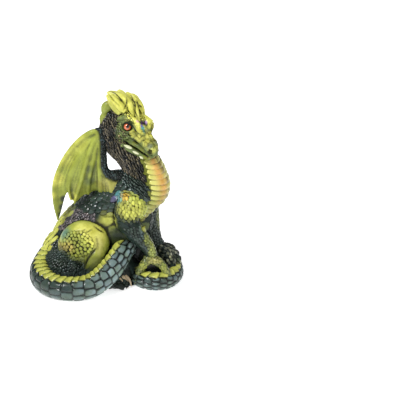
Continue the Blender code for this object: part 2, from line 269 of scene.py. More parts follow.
def torso(clay):
    tube(clay, TORSO)
    ball(clay, (-42, 0, 20), (25, 24, 21))
    ball(clay, (-44, 18, 26), (24, 24, 26))
    ball(clay, (41, 7.5, 110), (26, 24, 26))
    # A filler inside the forelegs' arch, painted near black as shade.
    ball(clay, (36, 12, 34), (13, 12, 17))
    ball(clay, (14, 14, 58), (24, 22, 22))
    ball(clay, (32, 18, 66), (18, 15, 24))
    ball(clay, (0, 14, 2), (58, 30, 5))
    ball(clay, (4, 11, 12), (38, 27, 25))
    ball(clay, (50, 12, 3), (24, 24, 11))


def haunches(clay):
    ball(clay, (-22.5, -4, 46.5), (27, 19.5, 25), turn_y=-15)
    ball(clay, (-22, 46, 44), (26, 18, 24), turn_y=-15)
    for side, y in ((-1, -11), (1, 53)):
        foot = y + 4 * side
        tube(clay, [(-13, y, 44, 13), (-13, foot, 34, 12), (-16, foot, 22, 10), (-20, foot, 10, 8)])
        tube(clay, [(-22, foot, 8.5, 8), (-6, foot, 8.5, 9), (8, foot, 8.5, 9), (16, foot, 6.5, 6.5)])
        for spread, reach in HIND_TOES:
            toe = foot + spread
            tube(clay, [(8, foot + 0.5 * spread, 6.5, 5.5), (reach - 6, toe, 7, 4.4), (reach, toe, 3.4, 3)])


def forelegs(clay):
    ball(clay, (28, -7, 93), (16.5, 15, 18))
    tube(clay, NEAR_ARM)
    for root, knuckle, tip in NEAR_TOES:
        tube(clay, [(*root, 5.5), (*knuckle, 4.2), (*tip, 3.2)])
    ball(clay, (43, 25, 92), (13.5, 14, 17))
    tube(clay, FAR_ARM)
    for root, knuckle, tip in FAR_TOES:
        tube(clay, [(*root, 5), (*knuckle, 3.9), (*tip, 2.9)])
        ball(clay, knuckle, (4.8, 4.4, 4.4))
        ball(clay, (Vector(knuckle) + Vector(tip)) / 2 + Vector((1, 0, 1)), (4.2, 4, 4))


def neck(clay):
    tube(clay, NECK)


def tail_core(clay):
    tube(clay, [(x, y, z, 0.8 * r) for x, y, z, r in TAIL[:-3]])


def skull(clay):
    """Skull, snout and jaw before the lids, lips and pads are laid on."""
    head_ball(clay, (-5, 0, -1), (17, 12, 12.5))
    head_ball(clay, (-6, 0, -12), (15, 12, 13))
    head_ball(clay, (-18, 2, 5), (12, 13, 13))
    head_ball(clay, (-20, 3, -8), (10, 10, 12))
    head_loft(clay, [(-2, 0, -14, 8, 8), (14, 0, -13, 6, 5), (30, 0, -12, 4, 3.4)])
    head_loft(clay, [
        (0, 0, -2, 10.5, 9), (10, 0, -3.4, 9.4, 8), (20, 0, -5, 8, 6.4), (30, 0, -5.6, 7, 5.6),
        (36, 0, -7.2, 5.8, 4.8), (40, 0, -9.4, 3, 2.8),
    ])
    head_loft(clay, [
        (-8, 0, -25, 12.6, 8), (6, 0, -24.6, 11.4, 5.6), (18, 0, -22.4, 8.8, 4.2), (29, 0, -19.4, 6, 3.4),
        (37, 0, -16.6, 3.2, 2.4),
    ])
    for side in (-1, 1):
        head_ball(clay, (1, 9.5 * side, 0.6), (8, 4, 6))
        head_ball(clay, (-6, 9.5 * side, -13), (9, 5, 10))
        head_ball(clay, (9.4, 8.6 * side, 8.2), (5.8, 4.2, 3.4))
        head_ball(clay, (10.4, 7.4 * side, -0.4), (6.4, 4.6, 5.6))
        head_ball(clay, (14.2, 5.8 * side, 1.2), (5.4, 3.6, 5.4))
        head_ball(clay, (31, 3.2 * side, -4), (5.4, 4.2, 4.2))
    # The jewelled boss between the brows.
    head_ball(clay, (12.6, -0.6, 3), (6.6, 5.6, 5.8))


def membrane(clay, side):
    fingers = [smooth_line(finger, 8) for finger in WING_FINGERS]
    across = 10
    columns = []
    shares = np.linspace(0, 1, len(fingers[0]))
    for first, second, sag, scallop in zip(fingers, fingers[1:], MEMBRANE_SAG, MEMBRANE_SCALLOP):
        for s in np.arange(across) / across:
            column = first * (1 - s) + second * s
            column[:, 1] -= sag * 4 * s * (1 - s) * shares
            column[:, 2] += scallop * 6.75 * s * s * (1 - s) * shares**3
            columns.append(column)
    columns.append(fingers[-1])
    grid = np.array(columns)
    half = WING_THICKNESS / 2
    outer, inner = [], []
    for offset, skin in ((half, outer), (-half, inner)):
        for column in grid:
            skin.append([clay.verts.new(in_wing(side, back, out + offset, z)) for back, out, z in column])
    last_column, last_row = len(grid) - 1, grid.shape[1] - 1
    for i in range(last_column):
        for j in range(last_row):
            clay.faces.new((outer[i][j], outer[i + 1][j], outer[i + 1][j + 1], outer[i][j + 1]))
            clay.faces.new((inner[i][j + 1], inner[i + 1][j + 1], inner[i + 1][j], inner[i][j]))
        for j in (0, last_row):
            clay.faces.new((outer[i][j], inner[i][j], inner[i + 1][j], outer[i + 1][j]))
    for i in (0, last_column):
        for j in range(last_row):
            clay.faces.new((outer[i][j + 1], inner[i][j + 1], inner[i][j], outer[i][j]))


def wing(side):
    def form(clay):
        tube(clay, [(*in_wing(side, back, out, z), r) for back, out, z, r in WING_ARM])
        membrane(clay, side)
        for finger, thick in zip(WING_FINGERS[:5], (3.0, 2.3, 2.3, 2.3, 2.2)):
            radii = np.linspace(thick, 1.3, len(finger))
            tube(clay, [(*in_wing(side, *point), r) for point, r in zip(finger, radii)], steps=8)
    return form


# Surfaces that are carved and painted


class Surface:
    """A mesh's points, in grid units, for carving and painting."""

    def __init__(self, mesh):
        self.mesh = mesh
        self.co = np.zeros(len(mesh.vertices) * 3)
        mesh.vertices.foreach_get("co", self.co)
        self.co = self.co.reshape(-1, 3)
        edges = np.zeros(len(mesh.edges) * 2, int)
        mesh.edges.foreach_get("vertices", edges)
        self.edges = edges.reshape(-1, 2)
        self.count = np.bincount(self.edges.ravel(), minlength=len(self.co))
        self.wash_and_shade = np.zeros(len(self.co))

    def normals(self):
        self.write()
        out = np.zeros(len(self.co) * 3)
        self.mesh.vertices.foreach_get("normal", out)
        return out.reshape(-1, 3)

    def write(self):
        self.mesh.vertices.foreach_set("co", self.co.ravel())
        self.mesh.update()

    def mean(self, values):
        a, b = self.edges.T
        columns = values.reshape(len(values), -1)
        out = np.empty_like(columns)
        for k in range(columns.shape[1]):
            total = np.bincount(a, columns[b, k], len(columns)) + np.bincount(b, columns[a, k], len(columns))
            out[:, k] = total / self.count
        return out.reshape(values.shape)

    def hollows(self, rounds):
        """How far each point lies below (positive) or above its surroundings."""
        soft = self.co.copy()
        for _ in range(rounds):
            soft = self.mean(soft)
        return ((soft - self.co) * self.normals()).sum(1)

    def away_from(self, path):
        """Each point's distance from a line, and how far along it that is, from 0 to 1."""
        line = even_line(path, 0.8)
        best = np.full(len(self.co), 99.0)
        share = np.zeros(len(self.co))
        low, high = line.min(0)[:3] - 9, line.max(0)[:3] + 9
        near = np.nonzero(((self.co > low) & (self.co < high)).all(1))[0]
        for k, point in enumerate(line):
            d = np.linalg.norm(self.co[near] - point[:3], axis=1)
            closer = d < best[near]
            best[near[closer]] = d[closer]
            share[near[closer]] = k / (len(line) - 1)
        return best, share

    def groove(self, path, width, depth, wash_and_shade=0.0):
        far, share = self.away_from(path)
        ends = np.sqrt(np.clip(np.minimum(share, 1 - share) * 6, 0.15, 1))
        cut = np.exp(-((far / width) ** 2)) * ends
        self.co -= self.normals() * (cut * depth)[:, None]
        # The groove gets the dark wash, which also paints the shade in its crease.
        self.wash_and_shade = np.maximum(self.wash_and_shade, cut * wash_and_shade)

    def tree(self):
        self.write()
        return BVHTree.FromPolygons([Vector(v) for v in self.co], [p.vertices for p in self.mesh.polygons])


def clay_surface(forms, voxel, smooth):
    clay = bmesh.new()
    for form in forms:
        form(clay)
    bmesh.ops.recalc_face_normals(clay, faces=clay.faces)
    mesh = bpy.data.meshes.new("clay")
    clay.to_mesh(mesh)
    clay.free()
    obj = bpy.data.objects.new("clay", mesh)
    bpy.context.scene.collection.objects.link(obj)
    remesh = obj.modifiers.new("join", "REMESH")
    remesh.mode = "VOXEL"
    remesh.voxel_size = voxel
    soften = obj.modifiers.new("soften", "SMOOTH")
    soften.iterations = smooth
    evaluated = obj.evaluated_get(bpy.context.evaluated_depsgraph_get())
    result = bpy.data.meshes.new_from_object(evaluated)
    bpy.data.objects.remove(obj)
    return Surface(result)


def spray(co, base, spots):
    """Airbrushed paint: a base colour and soft round spots of other colours over it."""
    tint = np.tile(base, (len(co), 1)) if np.ndim(base) == 1 else base.copy()
    for at, reach, colour, strength in spots:
        far = np.linalg.norm((co - np.array(at)) / np.array(reach), axis=1)
        share = np.clip(1.5 - 1.5 * far, 0, 1)
        share = (share * share * (3 - 2 * share) * strength)[:, None]
        tint = tint * (1 - share) + colour * share
    return tint


# Finished pieces

PIECES = []


def in_metres(mesh):
    co = np.zeros(len(mesh.vertices) * 3)
    mesh.vertices.foreach_get("co", co)
    co = np.clip((co.reshape(-1, 3) + np.array(SHIFT)) * U, *packed_size)
    mesh.vertices.foreach_set("co", co.ravel())
    mesh.update()


def add_piece(name, mesh, material, tint=None, wash_and_shade=None, replaces=(), slot="casting"):
    """Turns a mesh in grid units into a finished piece with its paint stored on its points."""
    if tint is not None:
        layer = mesh.attributes.new("tint", "FLOAT_COLOR", "POINT")
        layer.data.foreach_set("color", np.hstack([tint, np.ones((len(tint), 1))]).ravel())
    if wash_and_shade is not None:
        layer = mesh.attributes.new("wash_and_shade", "FLOAT", "POINT")
        layer.data.foreach_set("value", np.asarray(wash_and_shade, float))
    in_metres(mesh)
    mesh.shade_smooth()
    mesh.materials.clear()
    mesh.materials.append(material)
    obj = bpy.data.objects.new(name, mesh)
    bpy.context.scene.collection.objects.link(obj)
    PIECES.append((obj, replaces, slot))


class Nodes:
    """Short hand for a material's node tree."""

    def __init__(self, name):
        self.material = bpy.data.materials.new(name)
        self.material.use_nodes = True
        self.tree = self.material.node_tree
        self.shader = self.tree.nodes["Principled BSDF"]
        self.coords = self.tree.nodes.new("ShaderNodeTexCoord").outputs["Object"]

    def node(self, kind, links=(), **settings):
        node = self.tree.nodes.new(kind)
        for key, value in settings.items():
            setattr(node, key, value)
        for socket, value in dict(links).items():
            self.put(node.inputs[socket], value)
        return node

    def put(self, socket, value):
        if isinstance(value, bpy.types.NodeSocket):
            self.tree.links.new(value, socket)
        else:
            socket.default_value = value

    def noise(self, scale, detail=3, rough=0.55):
        links = {"Vector": self.coords, "Scale": scale, "Detail": detail, "Roughness": rough}
        return self.node("ShaderNodeTexNoise", links).outputs["Fac"]

    def attribute(self, name, output):
        return self.node("ShaderNodeAttribute", attribute_name=name).outputs[output]

    def between(self, value, low, high, to_low=0.0, to_high=1.0):
        links = {"Value": value, "From Min": low, "From Max": high, "To Min": to_low, "To Max": to_high}
        return self.node("ShaderNodeMapRange", links).outputs["Result"]

    def sum(self, kind, a, b):
        return self.node("ShaderNodeMath", {0: a, 1: b}, operation=kind).outputs[0]

    def mix(self, share, a, b, blend="MIX"):
        node = self.node("ShaderNodeMix", data_type="RGBA", blend_type=blend)
        self.put(node.inputs[0], share)
        self.put(node.inputs[6], a)
        self.put(node.inputs[7], b)
        return node.outputs[2]

    def bump(self, height, strength, distance):
        links = {"Height": height, "Strength": strength, "Distance": distance}
        self.put(self.shader.inputs["Normal"], self.node("ShaderNodeBump", links).outputs["Normal"])


def rgba(colour):
    return (*[float(c) for c in colour], 1.0)


def enamel(
    name, wash=INK * 0.6, wash_share=0.93, mottling=0.25, gloss=0.32, grain=0.25, grain_size=900.0, coat=0.2,
    shine=0.3,
):
    """Airbrushed paint with a dark wash in its hollows, which also paints their shade, mottling and varnish
    over it.
    """
    n = Nodes(name)
    tint = n.attribute("tint", "Color")
    wash_and_shade = n.attribute("wash_and_shade", "Fac")
    blotch = n.noise(110.0, 4, 0.6)
    fine = n.noise(620.0, 3, 0.6)
    shade = n.between(blotch, 0.3, 0.7, 1 - mottling, 1 + mottling)
    blue_shade = n.sum("MULTIPLY", shade, shade)
    shade_colour = n.node("ShaderNodeCombineColor", {0: shade, 1: shade, 2: blue_shade}).outputs[0]
    shaded = n.mix(1.0, tint, shade_colour, "MULTIPLY")
    reach = n.sum("ADD", wash_and_shade, n.between(fine, 0.3, 0.7, -0.16, 0.16))
    share = n.between(reach, 0.12, 0.8, 0.0, wash_share)
    colour = n.mix(share, shaded, rgba(wash))
    n.put(n.shader.inputs["Base Color"], colour)
    n.put(n.shader.inputs["Roughness"], n.between(n.noise(300.0), 0.3, 0.7, gloss - 0.07, gloss + 0.12))
    n.shader.inputs["Specular IOR Level"].default_value = shine
    n.shader.inputs["Coat Weight"].default_value = coat
    n.shader.inputs["Coat Roughness"].default_value = 0.15
    fine_grain = n.sum("MULTIPLY", n.noise(grain_size, 4), 0.6)
    broad_grain = n.sum("MULTIPLY", n.noise(240.0, 2), 0.8)
    n.bump(n.sum("ADD", fine_grain, broad_grain), grain, 0.0006)
    return n.material


def glass_eye():
    """Orange iris with darker rays and a slit pupil, seen through clear glass."""
    n = Nodes("glass_eye")
    facing = n.attribute("facing", "Fac")
    around = n.attribute("around", "Fac")
    slit = n.attribute("slit", "Fac")
    ray_coords = n.node("ShaderNodeCombineXYZ", {0: around, 1: facing}).outputs[0]
    rays = n.node("ShaderNodeTexNoise", {"Vector": ray_coords, "Scale": 14.0, "Detail": 3.0}).outputs["Fac"]
    iris = n.mix(n.between(rays, 0.35, 0.65), rgba(paint((170, 60, 28))), rgba(paint((232, 128, 70))))
    rim = n.mix(n.between(facing, 0.62, 0.4), iris, rgba(paint((60, 20, 14))))
    colour = n.mix(slit, rim, rgba(paint((8, 6, 6))))
    n.put(n.shader.inputs["Base Color"], colour)
    n.shader.inputs["Roughness"].default_value = 0.05
    n.shader.inputs["Coat Weight"].default_value = 1.0
    n.shader.inputs["Coat Roughness"].default_value = 0.02
    return n.material


# Which form a point of the body belongs to

BODY_LINES = {
    "tail": TAIL, "torso": TORSO, "neck": NECK, "near_arm": NEAR_ARM, "far_arm": FAR_ARM,
    "near_foot": [(-22, -15, 8.5, 8), (8, -15, 8.5, 9), (20, -15, 6, 6)],
    "far_foot": [(-22, 57, 8.5, 8), (8, 57, 8.5, 9), (20, 57, 6, 6)],
    "near_paw": [(48, -12, 33, 6), (41, -16, 28, 5), (34, -14, 16, 4)],
    "near_paw_front": [(50, -12, 32, 6), (59, -16, 27, 5), (66.5, -15, 14, 4)],
    "far_paw": [(58, 22, 29, 6), (68, 16, 26, 6), (75, 10, 13, 5)],
    "far_paw_back": [(61, 29, 28, 6), (68, 33, 25, 5), (76, 33, 11, 4)],
}
BODY_BALLS = {
    "near_haunch": ((-22.5, -4, 46.5), (27, 19.5, 25)),
    "far_haunch": ((-22, 46, 44), (26, 18, 24)),
    "chest": ((41, 7.5, 110), (26, 24, 26)),
    # A filler inside the forelegs' arch, painted near black as shade.
    "inner": ((36, 12, 34), (13, 12, 17)),
    "shoulder": ((28, -7, 93), (16.5, 15, 18)),
    "far_shoulder": ((46, 25, 92), (14, 14, 17)),
    "rump": ((-42, 0, 20), (25, 24, 21)),
    "far_rump": ((-44, 18, 26), (24, 24, 26)),
    # The slab under the figure, painted near black as shade.
    "ground": ((4, 11, 8), (56, 29, 8)),
    "belly": ((14, 14, 58), (24, 22, 22)),
}
FORMS = list(BODY_LINES) + list(BODY_BALLS)
REARWARD = (-0.6, 0.0, -0.8)


def sort_by_form(co):
    """The form each point lies nearest, and the way its scales run there."""
    best = np.full(len(co), 1e9)
    form = np.zeros(len(co), int)
    flow = np.tile(REARWARD, (len(co), 1))
    for index, name in enumerate(FORMS):
        if name in BODY_LINES:
            line = even_line(BODY_LINES[name], 3)
            tangents = np.gradient(line[:, :3], axis=0)
            tangents /= np.linalg.norm(tangents, axis=1)[:, None]
            for row, tangent in zip(line, tangents):
                far = np.linalg.norm(co - row[:3], axis=1) - row[3]
                closer = far < best
                best[closer], form[closer], flow[closer] = far[closer], index, tangent
        else:
            at, radii = BODY_BALLS[name]
            far = (np.linalg.norm((co - at) / radii, axis=1) - 1) * min(radii)
            closer = far < best
            best[closer], form[closer], flow[closer] = far[closer], index, REARWARD
    return form, flow


def is_form(form, *names):
    return np.isin(form, [FORMS.index(name) for name in names])


BODY_SPOTS = [
    # Yellow thigh, its ochre middle and its dark lower edge, which is painted shade.
    ((-8, -20, 62), (22, 26, 18), LEMON, 0.9),
    ((-24, -18, 68), (16, 22, 9), LEMON, 0.7),
    ((-46, -14, 62), (13, 20, 12), TEAL * 0.5 + PINE * 0.5, 0.8),
    ((-32, -20, 52), (18, 18, 15), OLIVE * 0.9, 0.8),
    ((-38, -18, 48), (9, 14, 9), RUSSET * 0.9 + STRAW * 0.4, 0.5),
    ((-6, -20, 50), (8, 16, 14), STRAW, 0.6),
    ((-48, -16, 46), (9, 14, 8), RUSSET * 0.8, 0.6),
    ((-44, -16, 36), (15, 20, 14), PINE, 0.95),
    ((-28, -18, 28), (18, 20, 13), PINE * 0.7, 0.95),
    ((-8, -24, 31), (15, 18, 15), OLIVE * 0.5, 0.85), ((-20, -22, 38), (14, 16, 9), OLIVE * 0.55, 0.7),
    # Yellow shoulder and the many-coloured patch above it.
    ((28, -20, 92), (20, 15, 15), LEMON * 0.5 + LEAF * 0.5, 0.95),
    ((15, -14, 104), (6, 12, 9), TEAL * 0.9, 0.9),
    ((10.5, -12, 102), (4.5, 10, 9), VIOLET * 0.8 + TEAL * 0.3, 0.85),
    ((21, -16, 105), (6, 9, 5), AMBER * 0.9, 0.8),
    # Yellow folds of the belly, with painted shade below them.
    ((4, -10, 74), (15, 14, 13), LEMON * 0.5 + LEAF * 0.6, 0.95),
    ((14, 2, 56), (20, 24, 14), PINE * 0.5, 0.95),
    # Lit front edge of the forelegs.
    ((50, -17, 46), (7, 9, 16), LEAF, 0.9),
    ((44, -19, 58), (5, 9, 10), LEAF, 0.6),
    ((38, -22, 70), (4, 8, 10), SLATE * 1.4, 0.7),
    ((52, -18, 32), (10, 7, 5), STRAW * 0.8, 0.8), ((62, -19, 24), (6, 6, 8), LEAF * 0.8, 0.8),
    ((40, -20, 26), (6, 6, 7), LEAF * 0.8, 0.8),
    ((58, 24, 66), (6, 12, 22), LEAF, 0.7),
    ((76, 12, 16), (7, 8, 6), MOSS, 0.7),
    # Foot under the tail's arch.
    ((12, -17, 8), (13, 9, 9), SLATE * 0.85, 0.95),
]


def skin_paint(co, normal):
    form, _ = sort_by_form(co)
    tint = np.tile(PINE, (len(co), 1))
    tint[is_form(form, "neck")] = INK
    tint[is_form(form, "chest")] = PINE * 0.7
    tint[is_form(form, "near_haunch", "far_haunch")] = LEAF
    tint[is_form(form, "shoulder", "far_shoulder")] = LEAF
    tint[is_form(form, "near_arm", "far_arm")] = PINE * 1.05
    tint[is_form(form, "near_paw", "near_paw_front")] = MOSS * 0.9
    tint[is_form(form, "far_paw", "far_paw_back")] = PINE
    # The hind feet, the slab under the figure and the filler inside the forelegs' arch are painted near
    # black: painted shade under and between the body's masses.
    tint[is_form(form, "near_foot", "far_foot", "ground", "inner")] = PINE * 0.4
    tint[is_form(form, "rump", "far_rump")] = PINE * 0.8
    tint[is_form(form, "belly")] = MOSS
    tail = is_form(form, "tail")
    low = np.clip(0.55 - normal[:, 2], 0, 1)[:, None]
    tint = np.where(tail[:, None], PINE * (1 - 0.8 * low) + SLATE * 0.8 * low, tint)
    return spray(co, tint, BODY_SPOTS)


# Scales


def scale_shape(name, rings, sides=9, point=0.0, lean=0.0, keel=0.0):
    """One closed scale about a unit long. rings holds (spread, rise) from its root to below its top."""
    shape = bmesh.new()
    rise = []
    loops = []
    for spread, height in rings:
        loop = []
        for k in range(sides):
            angle = 2 * math.pi * (k + 0.5) / sides
            x, y = math.cos(angle), math.sin(angle)
            tip = max(0.0, x) ** 2
            reach = spread * (1 + point * tip)
            narrow = 1 - 0.55 * point * tip
            z = height + lean * x * spread * max(height, 0) + keel * (1 - abs(y)) * max(height, 0)
            loop.append(shape.verts.new((0.5 * x * reach, 0.5 * y * spread * narrow, z)))
            rise.append(max(0.0, height))
        loops.append(loop)
    for first, second in zip(loops, loops[1:]):
        for k in range(sides):
            n = (k + 1) % sides
            shape.faces.new((first[k], first[n], second[n], second[k]))
    top = shape.verts.new((0.04, 0, 1 + keel))
    rise.append(1.0)
    for k in range(sides):
        shape.faces.new((loops[-1][k], loops[-1][(k + 1) % sides], top))
    shape.faces.new(loops[0][::-1])
    mesh = bpy.data.meshes.new(name)
    shape.to_mesh(mesh)
    shape.free()
    mesh.attributes.new("rise", "FLOAT", "POINT").data.foreach_set("value", rise)
    return bpy.data.objects.new(name, mesh)


def scatter_tree():
    """Sets one scale on every point of a mesh, turned and sized as the point says."""
    tree = bpy.data.node_groups.new("scale_setter", "GeometryNodeTree")
    face = tree.interface
    face.new_socket("Points", in_out="INPUT", socket_type="NodeSocketGeometry")
    face.new_socket("Scale shape", in_out="INPUT", socket_type="NodeSocketObject")
    face.new_socket("Finish", in_out="INPUT", socket_type="NodeSocketMaterial")
    face.new_socket("Height", in_out="INPUT", socket_type="NodeSocketFloat")
    face.new_socket("Unevenness", in_out="INPUT", socket_type="NodeSocketFloat")
    face.new_socket("Seed", in_out="INPUT", socket_type="NodeSocketInt")
    face.new_socket("Scales", in_out="OUTPUT", socket_type="NodeSocketGeometry")
    add = tree.nodes.new
    given, out = add("NodeGroupInput"), add("NodeGroupOutput")
    turn = add("GeometryNodeInputNamedAttribute")
    turn.data_type = "FLOAT_VECTOR"
    turn.inputs["Name"].default_value = "turn"
    size = add("GeometryNodeInputNamedAttribute")
    size.data_type = "FLOAT_VECTOR"
    size.inputs["Name"].default_value = "size"
    spin = add("FunctionNodeEulerToRotation")
    uneven = add("FunctionNodeRandomValue")
    uneven.data_type = "FLOAT"
    low = add("ShaderNodeMath")
    low.operation = "SUBTRACT"
    low.inputs[0].default_value = 1.0
    high = add("ShaderNodeMath")
    high.operation = "ADD"
    high.inputs[0].default_value = 1.0
    tall = add("ShaderNodeCombineXYZ")
    tall.inputs[0].default_value = tall.inputs[1].default_value = 1.0
    grown = add("ShaderNodeVectorMath")
    grown.operation = "MULTIPLY"
    varied = add("ShaderNodeVectorMath")
    varied.operation = "SCALE"
    shape = add("GeometryNodeObjectInfo")
    place = add("GeometryNodeInstanceOnPoints")
    realize = add("GeometryNodeRealizeInstances")
    finish = add("GeometryNodeSetMaterial")
    link = tree.links.new
    link(given.outputs["Points"], place.inputs["Points"])
    link(given.outputs["Scale shape"], shape.inputs["Object"])
    link(shape.outputs["Geometry"], place.inputs["Instance"])
    link(turn.outputs["Attribute"], spin.inputs["Euler"])
    link(spin.outputs["Rotation"], place.inputs["Rotation"])
    link(given.outputs["Unevenness"], low.inputs[1])
    link(given.outputs["Unevenness"], high.inputs[1])
    link(low.outputs[0], uneven.inputs[2])
    link(high.outputs[0], uneven.inputs[3])
    link(given.outputs["Seed"], uneven.inputs["Seed"])
    link(given.outputs["Height"], tall.inputs[2])
    link(size.outputs["Attribute"], grown.inputs[0])
    link(tall.outputs[0], grown.inputs[1])
    link(grown.outputs[0], varied.inputs[0])
    link(uneven.outputs[1], varied.inputs["Scale"])
    link(varied.outputs[0], place.inputs["Scale"])
    link(place.outputs["Instances"], realize.inputs["Geometry"])
    link(realize.outputs["Geometry"], finish.inputs["Geometry"])
    link(given.outputs["Finish"], finish.inputs["Material"])
    link(finish.outputs["Geometry"], out.inputs["Scales"])
    return tree


SETTER = scatter_tree()
LOWEST_SCALE = 1.5
SCALE_UNEVENNESS = 0.06
SHAPES = {
    "bead": scale_shape("bead_shape", [(0.96, -0.5), (0.98, 0.2), (0.78, 0.75), (0.42, 0.96)], sides=8),
    "shingle": scale_shape(
        "shingle_shape", [(1.0, -0.6), (1.08, 0.1), (0.98, 0.55), (0.6, 0.9)], point=0.35, lean=0.45,
    ),
    "spike": scale_shape(
        "spike_shape", [(0.8, -0.5), (0.9, 0.1), (0.7, 0.6), (0.35, 0.9)], sides=7,
        point=1.3, lean=0.5, keel=0.4,
    ),
}


def turn_of(flow, normal):
    n = Vector(normal).normalized()
    x = Vector(flow)
    x = x - n * x.dot(n)
    if x.length < 1e-3:
        x = n.orthogonal()
    x.normalize()
    y = n.cross(x)
    return tuple(Matrix((x, y, n)).transposed().to_euler())


def set_scales(name, shape, spots, material, seed, drybrush_and_highlight=None):
    """Covers a skin with scales of one shape.

    spots holds (point, normal, flow, (long, wide, tall), tint) for each scale, and the last argument a colour
    and how
    strongly it is brushed over their tops: partly dry-brushed paint, partly painted highlights.
    """
    spots = [spot for spot in spots if spot[0][2] > LOWEST_SCALE]
    points = bpy.data.meshes.new(name + "_points")
    points.from_pydata([tuple(s[0]) for s in spots], [], [])
    turns = [turn_of(s[2], s[1]) for s in spots]
    sizes = [s[3] for s in spots]
    for key, values in (("turn", turns), ("size", sizes)):
        layer = points.attributes.new(key, "FLOAT_VECTOR", "POINT")
        layer.data.foreach_set("vector", np.array(values, float).ravel())
    colours = np.hstack([np.array([s[4] for s in spots]), np.ones((len(spots), 1))])
    points.attributes.new("tint", "FLOAT_COLOR", "POINT").data.foreach_set("color", colours.ravel())
    obj = bpy.data.objects.new(name, points)
    bpy.context.scene.collection.objects.link(obj)
    setter = obj.modifiers.new("scales", "NODES")
    setter.node_group = SETTER
    given = {
        "Scale shape": SHAPES[shape], "Finish": material, "Height": 1.0, "Unevenness": SCALE_UNEVENNESS,
        "Seed": seed,
    }
    for item in SETTER.interface.items_tree:
        if item.name in given:
            setter[item.identifier] = given[item.name]
    mesh = bpy.data.meshes.new_from_object(obj.evaluated_get(bpy.context.evaluated_depsgraph_get()))
    bpy.data.objects.remove(obj)
    mesh.name = name
    count = len(mesh.vertices)
    rise = np.zeros(count)
    mesh.attributes["rise"].data.foreach_get("value", rise)
    tint = np.zeros(count * 4)
    mesh.attributes["tint"].data.foreach_get("color", tint)
    # Each scale is darker at its root and lighter at its top, and gets the dark wash at its root: partly
    # dry-brushed paint and dark joints, partly painted shade and light.
    tint = tint.reshape(-1, 4)[:, :3] * (0.4 + 0.75 * rise)[:, None]
    if drybrush_and_highlight:
        lucky = np.repeat(RANDOM.random(len(spots)) ** 1.6, count // len(spots))
        drybrush_and_highlight_share = (drybrush_and_highlight[1] * lucky * np.clip(rise * 2.2 - 1.2, 0, 1))[:, None]
        tint = tint * (1 - drybrush_and_highlight_share) + drybrush_and_highlight[0] * drybrush_and_highlight_share
    for key in ("rise", "turn", "size", "tint"):
        if key in mesh.attributes:
            mesh.attributes.remove(mesh.attributes[key])
    add_piece(name, mesh, material, tint, np.clip(1.05 - 1.7 * rise, 0, 1))


NEXT_CELLS = [(i, j, m) for i in (-1, 0, 1) for j in (-1, 0, 1) for m in (-1, 0, 1)]


class Skin:
    """A surface ready to be covered with scales."""

    def __init__(self, surface):
        self.tree = surface.tree()
        self.co = surface.co
        self.normal = surface.normals()
        faces = [p.vertices[:] for p in surface.mesh.polygons]
        self.quads = np.array([f if len(f) == 4 else (*f, f[-1]) for f in faces])

    def strewn(self, wanted, pitch, tries=60000):
        """Points spread evenly over the faces that are wanted, the normals there and the points' spacing."""
        share = wanted[self.quads].mean(1)
        chosen = np.nonzero(share > 0.5)[0]
        if not len(chosen):
            return np.zeros((0, 3)), np.zeros((0, 3)), pitch
        corner = self.co[self.quads[chosen]]
        area = np.linalg.norm(np.cross(corner[:, 2] - corner[:, 0], corner[:, 3] - corner[:, 1]), axis=1)
        tries = min(tries, int(9 * area.sum() / pitch**2) + 50)
        pick = RANDOM.choice(len(chosen), tries, p=area / area.sum())
        a, b = RANDOM.random((2, tries, 1))
        quad = self.quads[chosen[pick]]
        weight = np.stack([(1 - a) * (1 - b), a * (1 - b), a * b, (1 - a) * b], 1)
        co = (self.co[quad] * weight).sum(1)
        normal = (self.normal[quad] * weight).sum(1)
        cells, kept = {}, []
        keys = np.floor(co / pitch).astype(int)
        for k in range(tries):
            x, y, z = keys[k]
            near = [cells.get((x + i, y + j, z + m), ()) for i, j, m in NEXT_CELLS]
            if all(((co[k] - co[other]) ** 2).sum() >= pitch**2 for cell in near for other in cell):
                cells.setdefault((x, y, z), []).append(k)
                kept.append(k)
        seeds = co[kept]
        for _ in range(4):
            finder = KDTree(len(seeds))
            for k, seed in enumerate(seeds):
                finder.insert(Vector(seed), k)
            finder.balance()
            owner = np.array([finder.find(Vector(point))[1] for point in co])
            count = np.maximum(np.bincount(owner, minlength=len(seeds)), 1)
            seeds = np.stack([np.bincount(owner, co[:, axis], len(seeds)) / count for axis in range(3)], 1)
        settled = [self.tree.find_nearest(Vector(seed)) for seed in seeds]
        spacing = math.sqrt(1.155 * area.sum() / 2 / len(seeds))
        return np.array([hit[0] for hit in settled]), np.array([hit[1] for hit in settled]), spacing

    def round_rows(self, path, pitch, across, arc, reach=4.0):
        """Staggered rows of points over an arc of a limb: (point, normal, flow)."""
        line = even_line(path, pitch)
        found = []
        for k, (row, (along, side, over)) in enumerate(zip(line, frames(line))):
            centre, radius = Vector(row[:3]), row[3]
            span = math.radians(arc[1] - arc[0])
            count = max(3, int(round(span * radius / across)))
            for m in range(count):
                angle = math.radians(arc[0]) + span * (m + 0.5 * (k % 2) + 0.25) / count
                direction = over * math.cos(angle) + side * math.sin(angle)
                outside = centre + direction * (radius + reach)
                spot, normal, _, far = self.tree.ray_cast(outside, -direction, radius + reach)
                if spot is None or far < 0.02 or normal.dot(direction) < 0.35:
                    continue
                found.append((spot, normal, along))
        return found


def tinted(colour, amount=0.16):
    return np.clip(np.array(colour) * (1 + RANDOM.normal(0, amount)), 0, 1)


# Body

